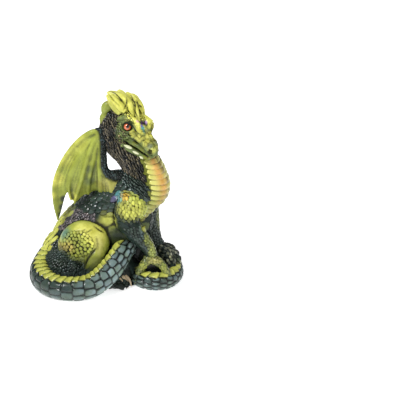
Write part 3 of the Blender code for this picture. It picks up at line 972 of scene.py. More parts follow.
body = clay_surface([torso, haunches, forelegs, neck, tail_core], BODY_VOXEL, 3)
BODY_GROOVES = [
    # Each groove: its path, width, depth and how dark its wash is, which also paints the crease's shade.
    # The crease behind the knee, and folds that spread from the top of the thigh.
    ([(-25, -26, 28), (-20, -26, 36), (-12, -25, 46), (-8, -24, 50)], 1.6, 1.5, 1.0),
    ([(-40, -18, 60), (-34, -21, 66), (-27, -20, 70)], 1.2, 0.7, 0.6),
    ([(-30, -23, 66), (-25, -22, 70), (-20, -20, 73)], 1.2, 0.7, 0.6),
    ([(-23, -24, 67), (-17, -22, 70), (-12, -19, 72)], 1.2, 0.7, 0.6),
    ([(-8, -23, 62), (-6, -23, 54), (-8, -24, 46)], 1.6, 0.6, 0.5),
    # Belly folds.
    ([(-8, -14, 76), (0, -14, 68), (6, -10, 60)], 1.3, 1.5, 1.0),
    ([(-3, -14, 78), (5, -13, 70), (11, -9, 62)], 1.3, 1.5, 1.0),
    ([(2, -14, 80), (10, -12, 72), (16, -8, 64)], 1.3, 1.5, 1.0),
    ([(7, -14, 81), (14, -12, 74), (20, -8, 66)], 1.3, 1.3, 1.0),
    # Elbow and wrist.
    ([(18, -25, 66), (26, -26, 62), (34, -22, 58)], 1.5, 1.0, 0.7),
    ([(44, -18, 37), (50, -18, 35), (56, -15, 37)], 1.1, 0.7, 0.6),
    # Muscles of the forearm.
    ([(30, -25, 74), (37, -24, 64), (43, -20, 54)], 1.5, 0.9, 0.7),
    ([(24, -26, 78), (30, -26, 68), (35, -24, 60)], 1.5, 0.7, 0.6),
]
body_tree = body.tree()
for path, width, depth, wash_and_shade in BODY_GROOVES:
    snapped = [tuple(body_tree.find_nearest(Vector(p))[0]) for p in path]
    body.groove(snapped, width, depth, wash_and_shade)
skin = Skin(body)
body_form, _ = sort_by_form(body.co)
# The dark wash in the body's hollows and creases, which also paints their shade.
hollow = body.hollows(20)
body_wash_and_shade = np.clip(np.maximum(body.wash_and_shade, hollow * 1.2), 0, 1)
BEAD_FIELDS = {
    "thigh": (("near_haunch",), (-30, -22, 52), (18, 20, 14)),
    "far_thigh": (("far_haunch",), (-30, 62, 52), (18, 20, 14)),
    "shoulder": (("shoulder", "near_arm", "torso"), (28, -20, 91), (19, 15, 15)),
}


def field_share(name):
    owners, at, radii = BEAD_FIELDS[name]
    far = np.linalg.norm((body.co - np.array(at)) / np.array(radii), axis=1)
    return is_form(body_form, *owners) * (far < 1)


# The skin under the bead fields gets the dark wash, so the gaps between the beads show dark: dark paint and
# painted shade.
for name in BEAD_FIELDS:
    body_wash_and_shade = np.maximum(body_wash_and_shade, field_share(name) * 0.85)

hide = enamel("hide", gloss=0.27, coat=0.06, shine=0.14)
glossy_scale = enamel("glossy_scale", mottling=0.2, gloss=0.22, grain=0.12, coat=0.2, shine=0.22)
soft_scale = enamel("soft_scale", mottling=0.18, gloss=0.32, grain=0.16, coat=0.1, shine=0.2)
plate_paint = enamel(
    "plate_paint", wash=paint((70, 50, 26)), wash_share=0.9, mottling=0.12, gloss=0.3, grain=0.12,
)
leather = enamel(
    "leather", wash=paint((40, 46, 26)), wash_share=0.85, mottling=0.2, gloss=0.42, grain=0.5,
    grain_size=1500.0, coat=0.08,
)
horn = enamel("horn", wash=paint((60, 44, 30)), wash_share=0.7, mottling=0.1, gloss=0.25, grain=0.1)

# Belly plates

PLATE_PITCH = 5.8
PLATE_COLUMNS = 17
PLATE_SAG = 2.6
# The longest step from column to column that is still the same plate
PLATE_STEP = 6.5
PLATE_HALF_WIDTH = 4.0
PLATE_HALF_THICKNESS = 1.6
PLATE_LEAN = 0.30
STRAP_SIDES = 12


def strap(clay, points, normals, halves):
    """A closed band that follows points, flat on their normals.

    halves holds its half width, its half thickness and how far it leans at each point.
    """
    rings = []
    tangents = np.gradient(np.array(points), axis=0)
    for point, normal, tangent, (wide, thick, lean) in zip(points, normals, tangents, halves):
        along = Vector(tangent).normalized()
        out = (normal - along * normal.dot(along)).normalized()
        down = along.cross(out).normalized()
        if down.z > 0:
            down.negate()
        turned_out = out * math.cos(lean) + down * -math.sin(lean)
        turned_down = down * math.cos(lean) + out * math.sin(lean)
        ring = []
        for k in range(STRAP_SIDES):
            angle = 2 * math.pi * k / STRAP_SIDES
            in_width = turned_down * wide * math.cos(angle)
            in_thickness = turned_out * thick * math.sin(angle)
            ring.append(clay.verts.new(point + in_width + in_thickness))
        rings.append(ring)
    skin_rings(clay, rings)


def plates(tree):
    """The belly plates' mesh, how far to the side each of its points lies, and the plates' middle line."""
    clay = bmesh.new()
    sides, middles = [], []
    middle = PLATE_COLUMNS // 2
    for height, x, y, facing, spread in even_line(PLATES, PLATE_PITCH):
        hits = []
        for share in np.linspace(-1, 1, PLATE_COLUMNS):
            angle = math.radians(facing + spread * share)
            way = Vector((math.sin(angle), -math.cos(angle), 0))
            sag = PLATE_SAG * (1 - share * share)
            spot, normal, _, _ = tree.ray_cast(Vector((x, y, height - sag)) + way * 40, -way, 60)
            hits.append(None if spot is None else (spot + way * 0.1, (normal * 0.4 + way).normalized()))
        # A plate runs outwards from the middle and ends at the first gap or step in the chest.
        run = [hits[middle]] if hits[middle] else []
        for step in (-1, 1):
            k = middle + step
            while run and 0 <= k < PLATE_COLUMNS and hits[k]:
                last = run[0] if step < 0 else run[-1]
                if (hits[k][0] - last[0]).length >= PLATE_STEP:
                    break
                run.insert(0 if step < 0 else len(run), hits[k])
                k += step
        points, normals = [spot for spot, _ in run], [normal for _, normal in run]
        if len(points) < 5:
            continue
        halves = []
        for t in np.linspace(-1, 1, len(points)):
            taper = 1 - 0.5 * abs(t) ** 3
            halves.append((PLATE_HALF_WIDTH * taper, PLATE_HALF_THICKNESS * taper, PLATE_LEAN))
        strap(clay, points, normals, halves)
        sides.extend(np.repeat(np.linspace(-1, 1, len(points)), STRAP_SIDES))
        middles.extend(tuple(p) for p in points)
    bmesh.ops.recalc_face_normals(clay, faces=clay.faces)
    mesh = bpy.data.meshes.new("belly_plates")
    clay.to_mesh(mesh)
    clay.free()
    return mesh, np.array(sides), np.array(middles)


plate_mesh, plate_side, plate_middles = plates(skin.tree)
height = np.repeat(plate_middles[:, 2], STRAP_SIDES)
glow = np.exp(-(((plate_side + 0.3) / 0.27) ** 2))[:, None]
plate_tint = paint((208, 206, 112)) * (1 - glow) + paint((224, 172, 92)) * glow
green = np.clip((114 - height) / 26, 0, 1)[:, None] * 0.85
plate_tint = plate_tint * (1 - green) + LEAF * 0.85 * green
specked = np.repeat(RANDOM.random(len(plate_middles)) > 0.55, STRAP_SIDES)
speck = (np.exp(-(((plate_side - 0.1) / 0.16) ** 2)) * specked)[:, None]
plate_tint = plate_tint * (1 - 0.75 * speck) + RUSSET * 0.6 * 0.75 * speck
# The plates' upper and lower edges get the dark wash: dark joints, and painted shade under each plate's
# overlap.
round_strap = 2 * np.pi * np.arange(STRAP_SIDES) / STRAP_SIDES
rim = np.clip(np.abs(np.cos(round_strap)) * 4 - 2.9, 0, 1)
add_piece("belly_plates", plate_mesh, plate_paint, plate_tint, np.tile(rim, len(plate_middles)) * 0.8)

under_plates = np.zeros(len(body.co), bool)
for middle in plate_middles[::2]:
    under_plates |= np.linalg.norm(body.co - middle, axis=1) < 4.2

body_tint = skin_paint(body.co, skin.normal)
body_tint[under_plates] = LEAF * 0.45
body_wash_and_shade[under_plates] *= 0.4
add_piece("body", body.mesh, hide, body_tint, body_wash_and_shade, replaces=("dragon",))

# Small beads on the thighs, the shoulder and the flank.


def bead_field(
    name, wanted, pitch, tall, shape, material, seed, flow=None, tint=None, long=1.15, fit=1.08, drybrush_and_highlight=None,
):
    points, normals, spacing = skin.strewn(wanted, pitch)
    _, ways = sort_by_form(points)
    colours = skin_paint(points, normals) if tint is None else np.tile(tint, (len(points), 1))
    spots = []
    for k, (point, normal) in enumerate(zip(points, normals)):
        way = ways[k] if flow is None else flow
        spots.append((point, normal, way, (spacing * fit * long, spacing * fit, tall), tinted(colours[k])))
    set_scales(name, shape, spots, material, seed, drybrush_and_highlight)


def inside(co, at, radii):
    return (np.linalg.norm((co - np.array(at)) / np.array(radii), axis=1) < 1).astype(float)


near_thigh, far_thigh, shoulder_part = (field_share(name).astype(float) for name in BEAD_FIELDS)
both_thighs = np.maximum(near_thigh, far_thigh)
bead_field("thigh_beads", both_thighs, 3.0, 1.6, "bead", soft_scale, 2, flow=(0.5, 0, -0.9))
bead_field("shoulder_beads", shoulder_part, 2.9, 1.7, "shingle", soft_scale, 3, flow=(0.35, 0, -1), long=1.25)

busy = np.maximum(under_plates, np.maximum(both_thighs, shoulder_part))
x, z = body.co[:, 0], body.co[:, 2]
side_limit = np.where(x < -12, 79, 80) - 0.1 * (x + 12)
trunk = is_form(body_form, "torso", "belly") * (1 - busy)
# The pale tops brushed on the scales below are partly dry-brushed paint and partly painted highlights.
bead_field(
    "flank_scutes", trunk * (z > side_limit), 4.6, 2.0, "shingle", glossy_scale, 4,
    flow=(-0.75, 0, -0.6), long=1.25, fit=1.15, drybrush_and_highlight=(SLATE * 1.5, 0.35),
)
bead_field(
    "saddle_scales", trunk * (z <= side_limit) * (z > 56) * (x < -10), 2.2, 1.0, "shingle", glossy_scale, 12,
    flow=(-0.75, 0, -0.6), tint=paint((46, 46, 46)), drybrush_and_highlight=(paint((160, 146, 148)), 0.7),
)
thigh_low = is_form(body_form, "near_haunch", "far_haunch") * (z < 44 - 0.5 * (x + 36)) * (x < -22)
rump = np.maximum(is_form(body_form, "rump", "far_rump"), thigh_low) * (1 - busy)
bead_field(
    "rump_scales", rump, 2.4, 1.1, "shingle", glossy_scale, 5, flow=(-0.7, 0, -0.7), drybrush_and_highlight=(SLATE * 1.3, 0.4),
)
strip = is_form(body_form, "near_arm") & (x > 30 + 0.9 * (58 - z)) & (z < 72)
legs = (is_form(body_form, "far_arm", "near_foot", "far_foot") | strip) * (1 - busy)
bead_field("leg_scales", legs, 2.4, 0.6, "bead", glossy_scale, 6, drybrush_and_highlight=(SLATE * 1.2, 0.4))
near_paws = is_form(body_form, "near_paw", "near_paw_front") * (1 - busy)
bead_field("near_paw_scales", near_paws, 2.2, 0.5, "shingle", glossy_scale, 13, drybrush_and_highlight=(STRAW, 0.5))
far_paws = is_form(body_form, "far_paw", "far_paw_back") * (1 - busy)
bead_field("far_paw_scales", far_paws, 2.8, 1.0, "bead", glossy_scale, 14, drybrush_and_highlight=(PEARL * 0.7, 1.0))
breast = is_form(body_form, "chest", "far_shoulder", "shoulder") * (1 - busy)
bead_field(
    "breast_scales", breast, 2.8, 1.7, "spike", glossy_scale, 7,
    flow=(0.8, 0, -0.6), long=1.45, drybrush_and_highlight=(SLATE * 1.7, 0.55),
)
throat = is_form(body_form, "neck") * (1 - busy)
bead_field(
    "neck_scales", throat, 2.3, 1.3, "spike", glossy_scale, 8,
    flow=(0.55, -0.1, -0.85), long=1.4, drybrush_and_highlight=(paint((176, 162, 128)), 0.5),
)

# Tail: one skin, carved into broad scutes below and a saw-toothed ridge of leaf-shaped ones along its top

TAIL_PITCH = 0.66
TAIL_SIDES = 116


def tail_piece():
    line = even_line(TAIL, TAIL_PITCH)
    run = np.concatenate([[0], np.cumsum(np.linalg.norm(np.diff(line[:, :3], axis=0), axis=1))])
    share = run / run[-1]
    along, across, over = (np.array([tuple(f[k]) for f in frames(line)]) for k in range(3))
    sides = TAIL_SIDES
    turns = np.degrees(2 * np.pi * np.arange(sides) / sides)
    turns = np.where(turns > 180, turns - 360, turns)
    radius = line[:, 3] * 0.93
    # How far the ridge leans from the top, how wide it is and how long its leaves are. Then how long the
    # scutes beside it are, and how many lie round the tail.
    lean = np.interp(share, [0, 0.1, 0.24, 0.34, 0.47, 0.56, 0.62, 1], [0, 6, 6, -14, -26, -20, 4, 4])
    leaf_long = np.interp(share, [0, 0.3, 0.42, 0.60, 0.66, 0.8, 1], [7.6, 7.6, 7.2, 7.2, 10.0, 8.6, 6])
    half_wide = np.interp(share, [0, 0.1, 0.3, 0.42, 0.6, 0.7, 1], [24, 34, 34, 27, 26, 38, 38])
    scute_long = np.interp(share, [0, 0.1, 0.40, 0.47, 0.66, 0.72, 1], [7.5, 9.6, 9.6, 7.6, 7.2, 6.0, 4.5])
    scute_count = np.interp(share, [0, 0.40, 0.47, 0.66, 0.72, 1], [8, 7, 9, 9, 9, 7])

    def on_skin(k, degrees):
        turn = math.radians(degrees)
        return line[k, :3] + (over[k] * math.cos(turn) + across[k] * math.sin(turn)) * radius[k]

    centres, tints = [], []
    mark, row = 0.0, 0
    while mark < run[-1] - 2:
        k = int(np.searchsorted(run, mark))
        columns = int(round(scute_count[k]))
        spread = (350 - 2 * half_wide[k]) / columns
        for c in range(columns):
            column = c + 0.25 + 0.5 * (row % 2)
            degrees = lean[k] + half_wide[k] + 5 + spread * column + RANDOM.normal(0, 2.0)
            centres.append(on_skin(k, degrees) + along[k] * RANDOM.normal(0, scute_long[k] * 0.05))
            turn = math.radians(degrees)
            rise = over[k][2] * math.cos(turn) + across[k][2] * math.sin(turn)
            low = min(1.0, max(0.0, 0.45 - rise))
            colour = PINE * (1 - low) + SLATE * 0.78 * low
            tints.append(tinted(colour, 0.14))
        mark += scute_long[k]
        row += 1
    finder = KDTree(len(centres))
    for k, place in enumerate(centres):
        finder.insert(Vector(place), k)
    finder.balance()

    turned = np.radians(turns)[None, :, None]
    out = over[:, None, :] * np.cos(turned) + across[:, None, :] * np.sin(turned)
    flat = (line[:, None, :3] + out * radius[:, None, None]).reshape(-1, 3)
    out = out.reshape(-1, 3)
    owner = np.zeros(len(flat), int)
    gap = np.zeros(len(flat))
    for k, point in enumerate(flat):
        (_, owner[k], near), (_, _, far) = finder.find_n(Vector(point), 2)
        gap[k] = far - near
    # The ridge: leaves that overlap towards the tail's end, with a toothed edge.
    off = (turns[None, :] - lean[:, None] + 180) % 360 - 180
    away = np.abs(off) * np.pi / 180 * radius[:, None]
    phase = np.cumsum(np.gradient(run) / leaf_long)[:, None] + 0.55 * away / leaf_long[:, None]
    phase = phase - np.floor(phase)
    width = half_wide[:, None] * np.pi / 180 * radius[:, None] * (0.76 + 0.36 * phase)
    inner = (width - away).ravel()
    phase = phase.ravel()
    ridge = inner > 0
    crown = np.clip(inner / np.maximum(width.ravel(), 0.1) * 1.6, 0, 1)
    leaf_lift = (0.25 + 1.25 * phase**0.8) * np.clip(inner / 0.8, 0, 1) + 0.7 * crown
    # Each leaf is darker at its root, where the one before overlaps it, and along the ridge's edge: dark
    # joints and painted shade.
    leaf_wash_and_shade = np.maximum(np.clip(1.2 - phase * 9, 0, 1), np.clip(1.1 - inner / 0.6, 0, 1))
    ripe = phase[:, None]
    leaf_tint = LEAF * 0.8 * (1 - ripe) + (LEMON * 0.7 + LEAF * 0.4) * ripe
    leaf_tint = leaf_tint * (0.78 + 0.3 * crown)[:, None]

    gap = np.minimum(gap, -inner * 1.3)
    dome = np.clip(gap / 2.4, 0, 1)
    dome = dome * dome * (3 - 2 * dome)
    # Each scute is darker towards its edges and lighter in its middle, dark joints and painted shade on its
    # dome; on the arch some get painted glints.
    scute_tint = np.array(tints)[owner] * (0.62 + 0.5 * np.clip(gap / 3.4, 0, 1))[:, None]
    arch = np.repeat(np.interp(share, [0, 0.28, 0.36, 0.6, 0.66, 1], [0.1, 0.1, 1, 1, 0.6, 0.6]), sides)
    glint = (0.3 + 0.7 * RANDOM.random(len(centres))[owner]) * arch * np.clip(gap / 1.6 - 0.7, 0, 1)
    scute_tint = scute_tint * (1 - 0.75 * glint[:, None]) + paint((148, 172, 166)) * 0.75 * glint[:, None]
    lift = np.where(ridge, leaf_lift, dome * (0.95 + 0.5 * arch))
    wash_and_shade = np.where(ridge, leaf_wash_and_shade, np.clip(1.15 - gap / 0.9, 0, 1))
    tint = np.where(ridge[:, None], leaf_tint, scute_tint)
    fade = np.repeat(np.clip((1 - share) * 12, 0, 1), sides)
    flat = flat + out * (lift * fade)[:, None]
    rows = len(line)
    faces = []
    for j in range(rows - 1):
        for k in range(sides):
            n = (k + 1) % sides
            faces.append((j * sides + k, (j + 1) * sides + k, (j + 1) * sides + n, j * sides + n))
    faces.append(tuple(range(sides)))
    faces.append(tuple((rows - 1) * sides + k for k in range(sides))[::-1])
    mesh = bpy.data.meshes.new("tail")
    mesh.from_pydata([tuple(v) for v in flat], [], faces)
    clay = bmesh.new()
    clay.from_mesh(mesh)
    bmesh.ops.recalc_face_normals(clay, faces=clay.faces)
    clay.to_mesh(mesh)
    clay.free()
    add_piece("tail", mesh, glossy_scale, tint, wash_and_shade)


tail_piece()

# Ridge down the back, from between the wings to the tail.
spots = []
back_line = [row for row in TORSO[:4][::-1]] + TAIL[1:3]
for spot, normal, along in skin.round_rows(back_line, 6.0, 5.4, (-27, 27)):
    bright = min(1.0, max(0.0, (-30 - spot.x) / 14)) if spot.z > 46 else 1.0
    colour = (LEMON * 0.45 + LEAF * 0.55) * bright + PINE * 1.3 * (1 - bright)
    spots.append((spot, normal, along, (9.6, 5.8, 1.6), tinted(colour, 0.12)))
set_scales("ridge_scutes", "shingle", spots, soft_scale, 10)

# Wings

# How deep and how dark the veins between each two fingers are, their darkness partly wash and partly painted
# shade in the folds, and where they run from one to the other
VEIN_DEPTHS = (0.35, 0.35, 0.35, 0.35, 0.8, 0.8)
VEIN_WASH_AND_SHADE = (0.42, 0.42, 0.42, 0.75, 0.7, 0.7)
VEIN_SHARES = (0.28, 0.5, 0.74)
VEIN_WIDTH = 1.5
WING_SPOTS = (
    # back, out, height, reach, colour and strength
    (52, 0, 158, 18, LEMON, 0.5), (66, -1, 140, 16, LEMON, 0.6), (74, 1, 116, 12, LEMON, 0.9),
    # The olive and dark spots at the curled lower tip are painted shade on its underside.
    (78, 2, 98, 6, LEMON, 0.8), (68.5, 2, 92, 6, OLIVE, 0.8), (71, 3, 80, 6, OLIVE, 0.8),
    (66, 0, 93, 6, PINE, 0.95), (67.5, 1, 84, 6, PINE, 0.95), (69.5, 2, 76, 5, PINE, 0.9),
    # The olive and moss spots at back 38 are painted shade in the deep fold.
    (56, 3, 96, 8, LEMON, 0.7), (50, 3, 108, 8, STRAW, 0.4), (38, 5, 142, 7, OLIVE, 0.8),
    (38, 5, 129, 8, MOSS, 0.9), (38, 6, 116, 8, MOSS, 0.9), (39, 3, 104, 6, OLIVE, 0.8),
    (22, 6, 112, 13, STRAW, 0.85), (8, 8, 108, 15, STRAW, 0.85), (14, 10, 98, 12, OLIVE * 1.2, 0.6),
    (30, 2, 148, 8, OLIVE, 0.8), (28, 0, 166, 8, OLIVE, 0.6),
)
# The wings' membranes are duller and less blue than the paints they are sprayed with.
WING_DULLING = np.array((0.86, 0.88, 0.74))


def wing_piece(name, side):
    surface = clay_surface([wing(side)], WING_VOXEL, 2)
    for first, second, depth, darkness in zip(WING_FINGERS, WING_FINGERS[1:], VEIN_DEPTHS, VEIN_WASH_AND_SHADE):
        for share in VEIN_SHARES:
            path = []
            for a, b in list(zip(first, second))[2:]:
                mixed = [p * (1 - share) + q * share for p, q in zip(a, b)]
                path.append(tuple(in_wing(side, *mixed)))
            surface.groove(path, VEIN_WIDTH, depth, darkness)
    # The dark wash in the wing's hollows, which also paints their shade.
    wash_and_shade = np.clip(np.maximum(surface.wash_and_shade, surface.hollows(10) * 1.2), 0, 1)
    height = np.clip((surface.co[:, 2] - 84) / 70, 0, 1)[:, None]
    base = LEAF * height + (OLIVE * 0.6 + LEAF * 0.4) * (1 - height)
    spots = []
    for back, out, z, reach, colour, strength in WING_SPOTS:
        spots.append((tuple(in_wing(side, back, out, z)), (reach,) * 3, colour, strength))
    tint = spray(surface.co, base, spots)
    arm = even_line([(*in_wing(side, back, out, z), r) for back, out, z, r in WING_ARM], 1.0)
    far = np.full(len(surface.co), 99.0)
    for row in arm:
        ahead = np.array(row[:3]) + np.array((1.6, 0, 0.6)) * (1 if side < 0 else 0)
        far = np.minimum(far, np.linalg.norm(surface.co - ahead, axis=1) - row[3])
    dark = np.clip(1.3 - far / 1.2, 0, 1)[:, None]
    tint = tint * WING_DULLING
    tint = tint * (1 - dark) + PINE * 0.3 * dark
    cover = Skin(surface)
    add_piece(name, surface.mesh, leather, tint, wash_and_shade)
    points, normals, spacing = cover.strewn((dark[:, 0] > 0.8).astype(float), 2.3)
    size = (spacing * 1.25, spacing * 1.08, 0.9)
    beads = [(p, n, (0, 0, -1), size, tinted(PINE * 0.25)) for p, n in zip(points, normals)]
    # Pale blue tops on the arm's beads: painted highlights.
    drybrush_and_highlight = (paint((120, 150, 150)), 0.2)
    set_scales(name + "_arm_beads", "bead", beads, glossy_scale, 20 + side, drybrush_and_highlight)


wing_piece("near_wing", -1)
wing_piece("far_wing", 1)

# Head, crest and ears


def leaf(clay, path, width, thick, up, root=0.14, tip=0.06):
    """A lock or an ear's fold: rounded at its root, widest before its middle and pointed at its tip."""
    shares = np.linspace(0, 1, len(path))
    rows = []
    for (x, y, z), s in zip(path, shares):
        swell = math.sin(math.pi * (root + (1 - root - tip) * s**0.85))
        rows.append((x, y, z, width * swell, thick * swell**0.7))
    loft(clay, rows, up=up)


EARS = (
    (3.8, 3.8, (-12, 6, 19.6), (-25, 10, 21.6), (-38.5, 13.4, 18.6)),
    (4.4, 3.8, (-11, 10.5, 11.5), (-24, 13.6, 14.4), (-38, 14.6, 16.4)),
    (4.2, 3.2, (-14, 11.5, 5), (-26, 13.6, 8.6), (-37, 14.4, 12.4)),
    (6.5, 2.4, (-13, 7, 14), (-25, 10.4, 16.6), (-38, 13.2, 17.4)),
)
CREST = (
    (5.4, 5, (-2, 1, 9), (-8, 1, 13), (-16, 1, 15.5), (-27, 1, 15.6)),
    (5, 3.6, (4, 6.5, 10), (-3, 6.8, 14), (-12, 7.4, 16), (-22, 7, 14.4)),
    (4.6, 3.4, (0, 9, 9.6), (-7, 9.4, 12), (-15, 10, 13), (-24, 9, 10)),
    (3.2, 2.6, (-1, -8, 13.6), (-7, -8.4, 17), (-13, -6.6, 19.6), (-20, -3, 20)),
    (2.8, 2.4, (6, -3.6, 11), (0, -4.2, 14.8), (-6, -2.6, 17.8), (-14, 1, 19.4)),
    (3, 2.2, (-4, 3, 16.4), (-10, 4, 18.8), (-18, 4, 19.6), (-27, 3, 18)),
    (3.2, 2.4, (-12, -4, 18), (-18, -5, 20.6), (-26, -5, 20.6), (-33, -4, 18.6)),
)
MANE = (
    ((9, 10, 200), (2, 10, 195), (-2, 11, 184)),
    ((6, 12, 190), (0, 12, 182), (-2, 12, 170)),
    ((4, 13, 178), (-1, 15, 169), (0, 16, 157)),
    ((6, 13, 167), (3, 16, 158), (8, 17, 146)),
)


def crest_and_ears(clay):
    for side in (-1, 1):
        far = max(0, side)
        for width, thick, base, middle, tip in EARS:
            drop = Vector((8, 0, -13)) * far
            path = [
                in_head(x + drop.x * s, side * y, z + drop.z * s)
                for (x, y, z), s in zip(smooth_line((base, middle, tip), 3), np.linspace(0, 1, 7))
            ]
            leaf(clay, path, width * 1.1, thick * 1.1, HEAD_LEFT * side, 0.2, 0.1)
    for width, thick, *path in CREST:
        lock = [in_head(*p) for p in smooth_line(path[::-1], 3)]
        leaf(clay, lock, width * 1.12, thick * 1.1, HEAD_LEFT, 0.25, 0.04)
    for start, middle, end in MANE:
        leaf(clay, [start, middle, end], 6, 4.5, Vector((0, 1, 0)))


# The face is drawn as it shows to the camera, which looks down on it: right of and above the eye's middle.
SHOW_TILT = math.radians(22)
TO_VIEWER = Vector((0, -math.cos(SHOW_TILT), math.sin(SHOW_TILT)))
SHOW_UP = Vector((0, math.sin(SHOW_TILT), math.cos(SHOW_TILT)))
NEAR_EYE = in_head(EYE_AT[0], -EYE_AT[1], EYE_AT[2])

# Each line of the face: right, up, lift off the skull and radius
FACE_LINES = (
    # Brow, and a second fold above it.
    (
        (-12, 5.4, 0.4, 1.6), (-7.5, 8.6, 0.6, 2.2), (-1, 9.8, 0.8, 2.7), (5, 8.4, 0.8, 2.5),
        (9.8, 4, 0.6, 2.2), (13, -1.4, 0.4, 1.8),
    ),
    ((-3, 12, 0.2, 1.4), (3, 12.6, 0.4, 1.8), (8.4, 9.4, 0.4, 1.8), (12, 4.6, 0.3, 1.5)),
    # Bridge of the snout, and the fold beside it.
    ((11, -3, 0.6, 1.8), (15, -6.2, 0.9, 2.2), (19, -9.6, 0.9, 2.2), (23.4, -13.4, 0.6, 1.9)),
    ((13.4, 0.6, 0.4, 1.6), (18, -3, 0.6, 1.9), (22.4, -7.4, 0.6, 1.9), (25.6, -12, 0.4, 1.6)),
    # Pads of the cheek.
    ((3.4, -6.6, 0.2, 1.8), (6.2, -6.6, 0.6, 2.3), (9, -8, 0.3, 1.8)),
    ((2.4, -10.2, 0.2, 1.5), (5.6, -10.4, 0.5, 2.0), (9, -12, 0.2, 1.5)),
    ((9.4, -10.6, 0.3, 1.7), (12.6, -12.4, 0.6, 2.2), (16, -14.6, 0.2, 1.6)),
    # Wing of the nostril.
    ((17, -16, 0.2, 1.6), (19.4, -20, 0.8, 2.2), (21.6, -25, 0.9, 2.0), (25, -29, 0.5, 1.7)),
    # Upper lip and lower lip.
    (
        (-6, -13.6, 0.4, 1.5), (0, -14.6, 0.8, 1.9), (7, -17.6, 1.0, 2.1), (13.6, -21.6, 1.1, 2.1),
        (19.4, -27, 1.1, 2.0), (26, -32.6, 0.7, 1.8),
    ),
    (
        (-6, -18.4, 0.2, 1.4), (0, -20.6, 0.5, 1.7), (7, -25, 0.6, 1.7), (14.4, -29.6, 0.6, 1.6),
        (21, -33.4, 0.4, 1.5),
    ),
    # Folds behind the mouth's corner.
    ((-12, -4, 0.1, 1.0), (-9, -8.4, 0.3, 1.3), (-5.4, -11.6, 0.2, 1.2)),
    ((-15.4, -6.6, 0.1, 1.0), (-12, -11.6, 0.3, 1.3), (-7.4, -16, 0.2, 1.2)),
    ((-6.8, -3.4, 0.2, 1.0), (-3, -6.8, 0.5, 1.3), (2, -9, 0.3, 1.1)),
)
UPPER_LID = ((-6, -1), (-4.7, 2.3), (-1.6, 4.1), (1.8, 4), (4.4, 1.8), (6, -1.4))
LOWER_LID = ((-6, -1), (-4.8, -3.9), (-1.6, -5.5), (2, -5.3), (4.7, -3.7), (6, -1.4))


def face_spot(tree, right, up, lift=0.0):
    """A point that shows that far right of and above the near eye, in the head's own x, y and z."""
    at = NEAR_EYE + Vector((right, 0, 0)) + SHOW_UP * up
    spot, normal, _, _ = tree.ray_cast(at + TO_VIEWER * 40, -TO_VIEWER)
    spot = (spot if spot is not None else at) + (normal * lift if normal is not None else Vector())
    off = spot - HEAD_AT
    return off.dot(HEAD_FORWARD), off.dot(HEAD_LEFT), off.dot(HEAD_CROWN)


def lid_spot(right, up, reach):
    side_on = math.sqrt(max(0.3, reach * reach - right * right - up * up))
    off = NEAR_EYE + Vector((right, 0, 0)) + SHOW_UP * up + TO_VIEWER * side_on - HEAD_AT
    return off.dot(HEAD_FORWARD), off.dot(HEAD_LEFT), off.dot(HEAD_CROWN)


skull_tree = clay_surface([skull], 1.0, 2).tree()
face_paths = [[(*face_spot(skull_tree, u, v, lift), r) for u, v, lift, r in line] for line in FACE_LINES]
lid_paths = [
    [(*lid_spot(u, v, 6.0), 1.0) for u, v in UPPER_LID],
    [(*lid_spot(u, v, 5.8), 0.9) for u, v in LOWER_LID],
]


def features(clay):
    for path in face_paths + lid_paths:
        for side in (-1, 1):
            tube(clay, [(*in_head(x, -side * y, z), r) for x, y, z, r in path], steps=6)


face = clay_surface([skull, features, crest_and_ears], HEAD_VOXEL, 2)


def mirrored(at):
    """The same spot on the head's other side."""
    off = Vector(at) - HEAD_AT
    return tuple(in_head(off.dot(HEAD_FORWARD), -off.dot(HEAD_LEFT), off.dot(HEAD_CROWN)))


def both_sides(x, y, z):
    return [in_head(x, -side * y, z) for side in (-1, 1)]


NOSTRIL = (23.6, -26.4)
NOSTRIL_REACH = 2.7
NOSTRIL_DEPTH = 3.0
# The nostrils are carved pits, darkened by the wash, which also paints the shade inside them.
for nostril in both_sides(*face_spot(skull_tree, *NOSTRIL)):
    far = np.linalg.norm((face.co - np.array(nostril)) / NOSTRIL_REACH, axis=1)
    pit = np.exp(-(far**2))
    inwards = TO_VIEWER * 0.4 + (nostril - HEAD_AT).normalized() * 0.6
    face.co -= np.array(inwards) * (pit * NOSTRIL_DEPTH)[:, None]
    face.wash_and_shade = np.maximum(face.wash_and_shade, np.clip(pit * 2.2, 0, 1))
# The eye's opening: the lids keep clear of the glass.
for side in (-1, 1):
    eye = in_head(EYE_AT[0], EYE_AT[1] * side, EYE_AT[2])
    off = face.co - np.array(eye)
    toward = TO_VIEWER.copy()
    level = Vector((1, 0, 0))
    if side == 1:
        toward = Vector(mirrored(HEAD_AT + toward)) - HEAD_AT
        level = Vector(mirrored(HEAD_AT + level)) - HEAD_AT
    rise = toward.cross(level).normalized() * side
    across, above, out = off @ np.array(level), off @ np.array(rise), off @ np.array(toward)
    above = above * np.sign(rise.z)
    clear = np.clip(1.25 - np.hypot(across / 4.9, (above + 1.4 + 0.16 * across) / 2.7), 0, 0.3) / 0.3
    glass_front = np.sqrt(np.maximum(EYE_RADIUS**2 - across**2 - above**2, 0)) - 1.1
    drop = np.where((out > glass_front) & (out < 12), out - glass_front, 0) * clear
    face.co -= np.array(toward) * drop[:, None]
